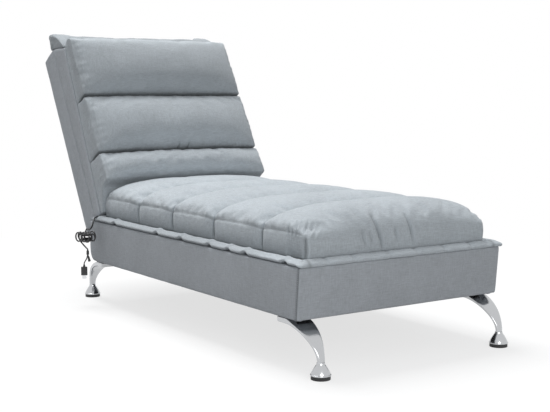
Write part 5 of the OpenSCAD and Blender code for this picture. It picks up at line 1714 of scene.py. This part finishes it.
CHROME_SHARP_FROM = 40
LEG_CORNERS = [(end + "_" + side_name, side, y) for end, y in (("front", FRONT_LEG_Y), ("rear", REAR_LEG_Y))
               for side_name, side in (("left", -1), ("right", 1))]
for corner, side, y in LEG_CORNERS:
    node = "leg_" + corner
    rear_end = y > 0
    leg = leg_mesh(node + "_casting", np.array([side * LEG_X, y, 0]), rear_end, side if rear_end else -side)
    hand_over(leg, chrome, node, body="base", sharp_from=CHROME_SHARP_FROM)
    low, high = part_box(node)
    seen = coordinates(leg)
    low_off, high_off = np.round((seen.min(axis=0) - low) * 1000, 1), np.round((seen.max(axis=0) - high) * 1000, 1)
    print(node, len(leg.data.polygons), "faces; off the CAD box by", low_off, high_off, "mm")

# %% [markdown]
# The foot is a small turned bell with a rolled rim, screwed to the neck, and a rubber pad closes it
# underneath. A profile turned about the leg's axis gives that shape directly.

# %% Turned feet
PAD_TOP, RIM, FOOT_R, FOOT_NECK_R = 0.008, 0.003, 0.023, 0.0105


def turned(name, profile, x, y, count=48):
    """Turns (radius, z) points about the upright line at x, y, on which the first and last point lie."""
    rings = [[(x + r * math.cos(a), y + r * math.sin(a), z) for a in ring_angles(count)] for r, z in profile[1:-1]]
    points = [p for ring in rings for p in ring] + [(x, y, profile[0][1]), (x, y, profile[-1][1])]
    return outward(new_object(name, points, capped_faces(len(rings), count)))


rim = [(FOOT_R - 0.5 * RIM + 0.5 * RIM * math.cos(a), PAD_TOP + 0.6 * RIM + 0.6 * RIM * math.sin(a))
       for a in np.linspace(-1.4, 1.5, 9)]
bell_side = [tuple(p) for p in bezier([(FOOT_R - 0.0018, PAD_TOP + 1.5 * RIM), (0.0200, 0.0165), (0.0160, 0.0235),
                                       (FOOT_NECK_R + 0.0004, 0.0305)], 14)]
collar = [(FOOT_NECK_R - 0.0004, 0.0312), (FOOT_NECK_R - 0.0010, 0.0325), (FOOT_NECK_R - 0.0012, 0.0350),
          (FOOT_NECK_R - 0.0018, NECK_Z)]
foot_profile = [(0, PAD_TOP), (FOOT_R - 0.0030, PAD_TOP)] + rim + bell_side + collar + [(0, NECK_Z)]
for corner, side, y in LEG_CORNERS:
    foot = turned("foot_" + corner + "_bell", foot_profile, side * LEG_X, y)
    hand_over(foot, chrome, "foot_" + corner, body="base", sharp_from=CHROME_SHARP_FROM)
print("feet:", len(foot.data.polygons), "faces each")

# %% [markdown]
# ## Foam blocks
# Under the cloth, cut foam pads the base's top and the back. Cut foam keeps its block shape, but its
# edges are rounded by the cloth pulled over them. Each block starts as a merged copy of the CAD
# block, is rebuilt in small even cells and is then smoothed and pressed in by a fraction of a
# millimetre, so it stays inside its own space.

# %% Softened foam
FOAM_INSET, FOAM_UNEVEN, FOAM_WAVE = 0.0003, 0.0006, 0.09


def softened_foam(node, body, cell, seed):
    source = NODES[node]
    mesh = source.data.copy()
    mesh.transform(source.matrix_world)
    mesh.materials.clear()
    foam = bpy.data.objects.new(node + "_block", mesh)
    SCENE.collection.objects.link(foam)
    work = bmesh.new()
    work.from_mesh(mesh)
    bmesh.ops.remove_doubles(work, verts=work.verts, dist=1e-5)
    work.to_mesh(mesh)
    work.free()
    rebuilt = foam.modifiers.new("cells", "REMESH")
    rebuilt.mode = "VOXEL"
    rebuilt.voxel_size = cell
    even = foam.modifiers.new("even", "SMOOTH")
    even.factor = 0.5
    even.iterations = 4
    apply_modifiers(foam)
    outward(foam)
    sunk(foam, FOAM_INSET + np.abs(FOAM_UNEVEN * noise_wave(coordinates(foam), FOAM_WAVE, seed)))
    hand_over(foam, foam_finish, node, body)
    print(node, len(foam.data.polygons), "faces")


softened_foam("base_foam", "base", cell=0.0045, seed=91)
softened_foam("back_foam", "back", cell=0.0060, seed=92)

# %% [markdown]
# ## Stitches and staples
# Seams show as rows of small stitches, and the dust cover is held by staples. Both are one thing
# repeated along a line, so a Geometry Nodes group does it: the line is divided evenly, a small
# rounded thread or wire is set on each point along the line's direction, and each is scaled a
# little at random. The lines are first laid on the finished pieces.

# %% Rows of small things along a line
def along_lines_group():
    group = bpy.data.node_groups.new("along_lines", "GeometryNodeTree")
    face = group.interface
    face.new_socket("Geometry", in_out="INPUT", socket_type="NodeSocketGeometry")
    kinds = {"Spacing": "Float", "Length": "Float", "Thickness": "Float", "Unevenness": "Float", "Seed": "Int",
             "Finish": "Material"}
    for label, kind in kinds.items():
        face.new_socket(label, in_out="INPUT", socket_type="NodeSocket" + kind)
    face.new_socket("Geometry", in_out="OUTPUT", socket_type="NodeSocketGeometry")
    given = group.nodes.new("NodeGroupInput").outputs
    line = add_node(group, "GeometryNodeMeshToCurve", {"Mesh": given["Geometry"]})
    spots = group.nodes.new("GeometryNodeCurveToPoints")
    spots.mode = "LENGTH"
    group.links.new(line.outputs["Curve"], spots.inputs["Curve"])
    group.links.new(given["Spacing"], spots.inputs["Length"])
    grain = add_node(group, "GeometryNodeMeshUVSphere", {"Segments": 6, "Rings": 5, "Radius": 0.5})
    measures = {"X": given["Thickness"], "Y": given["Thickness"], "Z": given["Length"]}
    size = add_node(group, "ShaderNodeCombineXYZ", measures)
    shaped = add_node(group, "GeometryNodeTransform", {"Geometry": grain.outputs["Mesh"], "Scale": size.outputs[0]})
    low = maths(group, "SUBTRACT", 1.0, given["Unevenness"])
    scale = group.nodes.new("FunctionNodeRandomValue")
    scale.data_type = "FLOAT"
    group.links.new(low, scale.inputs[2])
    scale.inputs[3].default_value = 1.0
    group.links.new(given["Seed"], scale.inputs["Seed"])
    placing = {"Points": spots.outputs["Points"], "Instance": shaped.outputs["Geometry"],
               "Rotation": spots.outputs["Rotation"], "Scale": scale.outputs[1]}
    placed = add_node(group, "GeometryNodeInstanceOnPoints", placing)
    real = add_node(group, "GeometryNodeRealizeInstances", {"Geometry": placed.outputs[0]})
    dressed = {"Geometry": real.outputs[0], "Material": given["Finish"]}
    finished = add_node(group, "GeometryNodeSetMaterial", dressed)
    group.links.new(finished.outputs[0], group.nodes.new("NodeGroupOutput").inputs[0])
    return group


ALONG_LINES = along_lines_group()
STITCH = {"spacing": 0.0044, "length": 0.0031, "thickness": 0.0007}
STAPLE = {"spacing": 0.032, "length": 0.010, "thickness": 0.0009}
ON_CLOTH = 0.0001


def laid_on(obj, path):
    """Each point of the path moved to the nearest place on the object, just off its surface."""
    out = []
    for p in path:
        found, place, normal, _ = obj.closest_point_on_mesh(Vector(p))
        out.append(np.array(place + normal * ON_CLOTH) if found else np.array(p))
    return np.array(out)


def repeated(name, lines, finish, spacing, length, thickness, unevenness=0.15, seed=7):
    points, edges = [], []
    for line in lines:
        start = len(points)
        points += [tuple(p) for p in line]
        edges += [(k, k + 1) for k in range(start, len(points) - 1)]
    mesh = bpy.data.meshes.new(name + "_lines")
    mesh.from_pydata(points, edges, [])
    guide = bpy.data.objects.new(name, mesh)
    SCENE.collection.objects.link(guide)
    mod = guide.modifiers.new("along", "NODES")
    mod.node_group = ALONG_LINES
    wanted = {"Spacing": spacing, "Length": length, "Thickness": thickness, "Unevenness": unevenness, "Seed": seed,
              "Finish": finish}
    for item in ALONG_LINES.interface.items_tree:
        if item.item_type == "SOCKET" and item.in_out == "INPUT" and item.name in wanted:
            mod[item.identifier] = wanted[item.name]
    graph = bpy.context.evaluated_depsgraph_get()
    made = bpy.data.meshes.new_from_object(guide.evaluated_get(graph), depsgraph=graph)
    guide.modifiers.clear()
    guide.data = made
    smooth_shading(guide)
    print(name, len(made.polygons), "faces")
    return guide


# %% Stitched seams of the base's body
LIP_LINE_IN, LIP_LINE_Z = 0.0065, 0.258
BESIDE_SEAM = 0.0055


def straight_line(start, end, step=0.006):
    start, end = np.array(start, float), np.array(end, float)
    count = max(2, round(float(np.linalg.norm(end - start)) / step))
    return [mix(start, end, k / count) for k in range(count + 1)]


lip_line = np.array([(x - LIP_LINE_IN * ox, y - LIP_LINE_IN * oy, LIP_LINE_Z) for x, y, ox, oy in lip_loop])
base_lines = [laid_on(flange, np.vstack([lip_line, lip_line[:1]]))]
for side in (-1, 1):
    for off in (-BESIDE_SEAM, BESIDE_SEAM):
        x, y = side * (BASE_X - max(off, 0)), BASE_FRONT - min(off, 0)
        foot, head = (x, y + FRONT_LEAN, BASE_LOW + 0.006), (x, y, BASE_HIGH - 0.006)
        base_lines.append(laid_on(base_cover, straight_line(foot, head)))
base_stitches = repeated("base_stitches", base_lines, thread, **STITCH)

# %% Stitched seams of the back's body
back_lines = []
for side in (-1, 1):
    ends = [(side * BACK_X, border_front(z) + 0.005, z + inset)
            for z, inset in ((BORDER_LOW_Z, 0.004), (BORDER_TOP_Z, -0.004))]
    back_lines.append(laid_on(border, straight_line(*on_back(ends))))
for side in (-1, 1):
    ends = [(side * BACK_X, SLAB_F + BESIDE_SEAM, z) for z in (BACK_LOW + 0.012, BACK_TOP - 0.012)]
    back_lines.append(laid_on(slab_cover, straight_line(*on_back(ends))))
back_stitches = repeated("back_stitches", back_lines, thread, **STITCH, seed=8)

# %% Staples round the dust cover
STAPLE_INSET = 0.006
left, right = dust_low[0] + STAPLE_INSET, dust_high[0] - STAPLE_INSET
near, far = dust_low[1] + STAPLE_INSET, dust_high[1] - STAPLE_INSET
corners = [(x, y, dust_low[2]) for x, y in ((left, near), (right, near), (right, far), (left, far), (left, near))]
ring = [np.array(corners[0])]
for start, end in zip(corners, corners[1:]):
    ring += straight_line(start, end, step=0.02)[1:]
staples = repeated("dust_cover_staples", [laid_on(dust_cover, ring)], steel, **STAPLE, unevenness=0.05, seed=9)
rows = ((base_stitches, "base", "side_fabric"), (back_stitches, "back", "side_fabric"), (staples, "base", "steel"))
for piece, body, name in rows:
    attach(piece, body)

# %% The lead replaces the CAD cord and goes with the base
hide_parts("cord_lead", "cord_hank")
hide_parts("cord_branches")
for piece in (lead, usb_lead, socket_lead):
    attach(piece, "base")
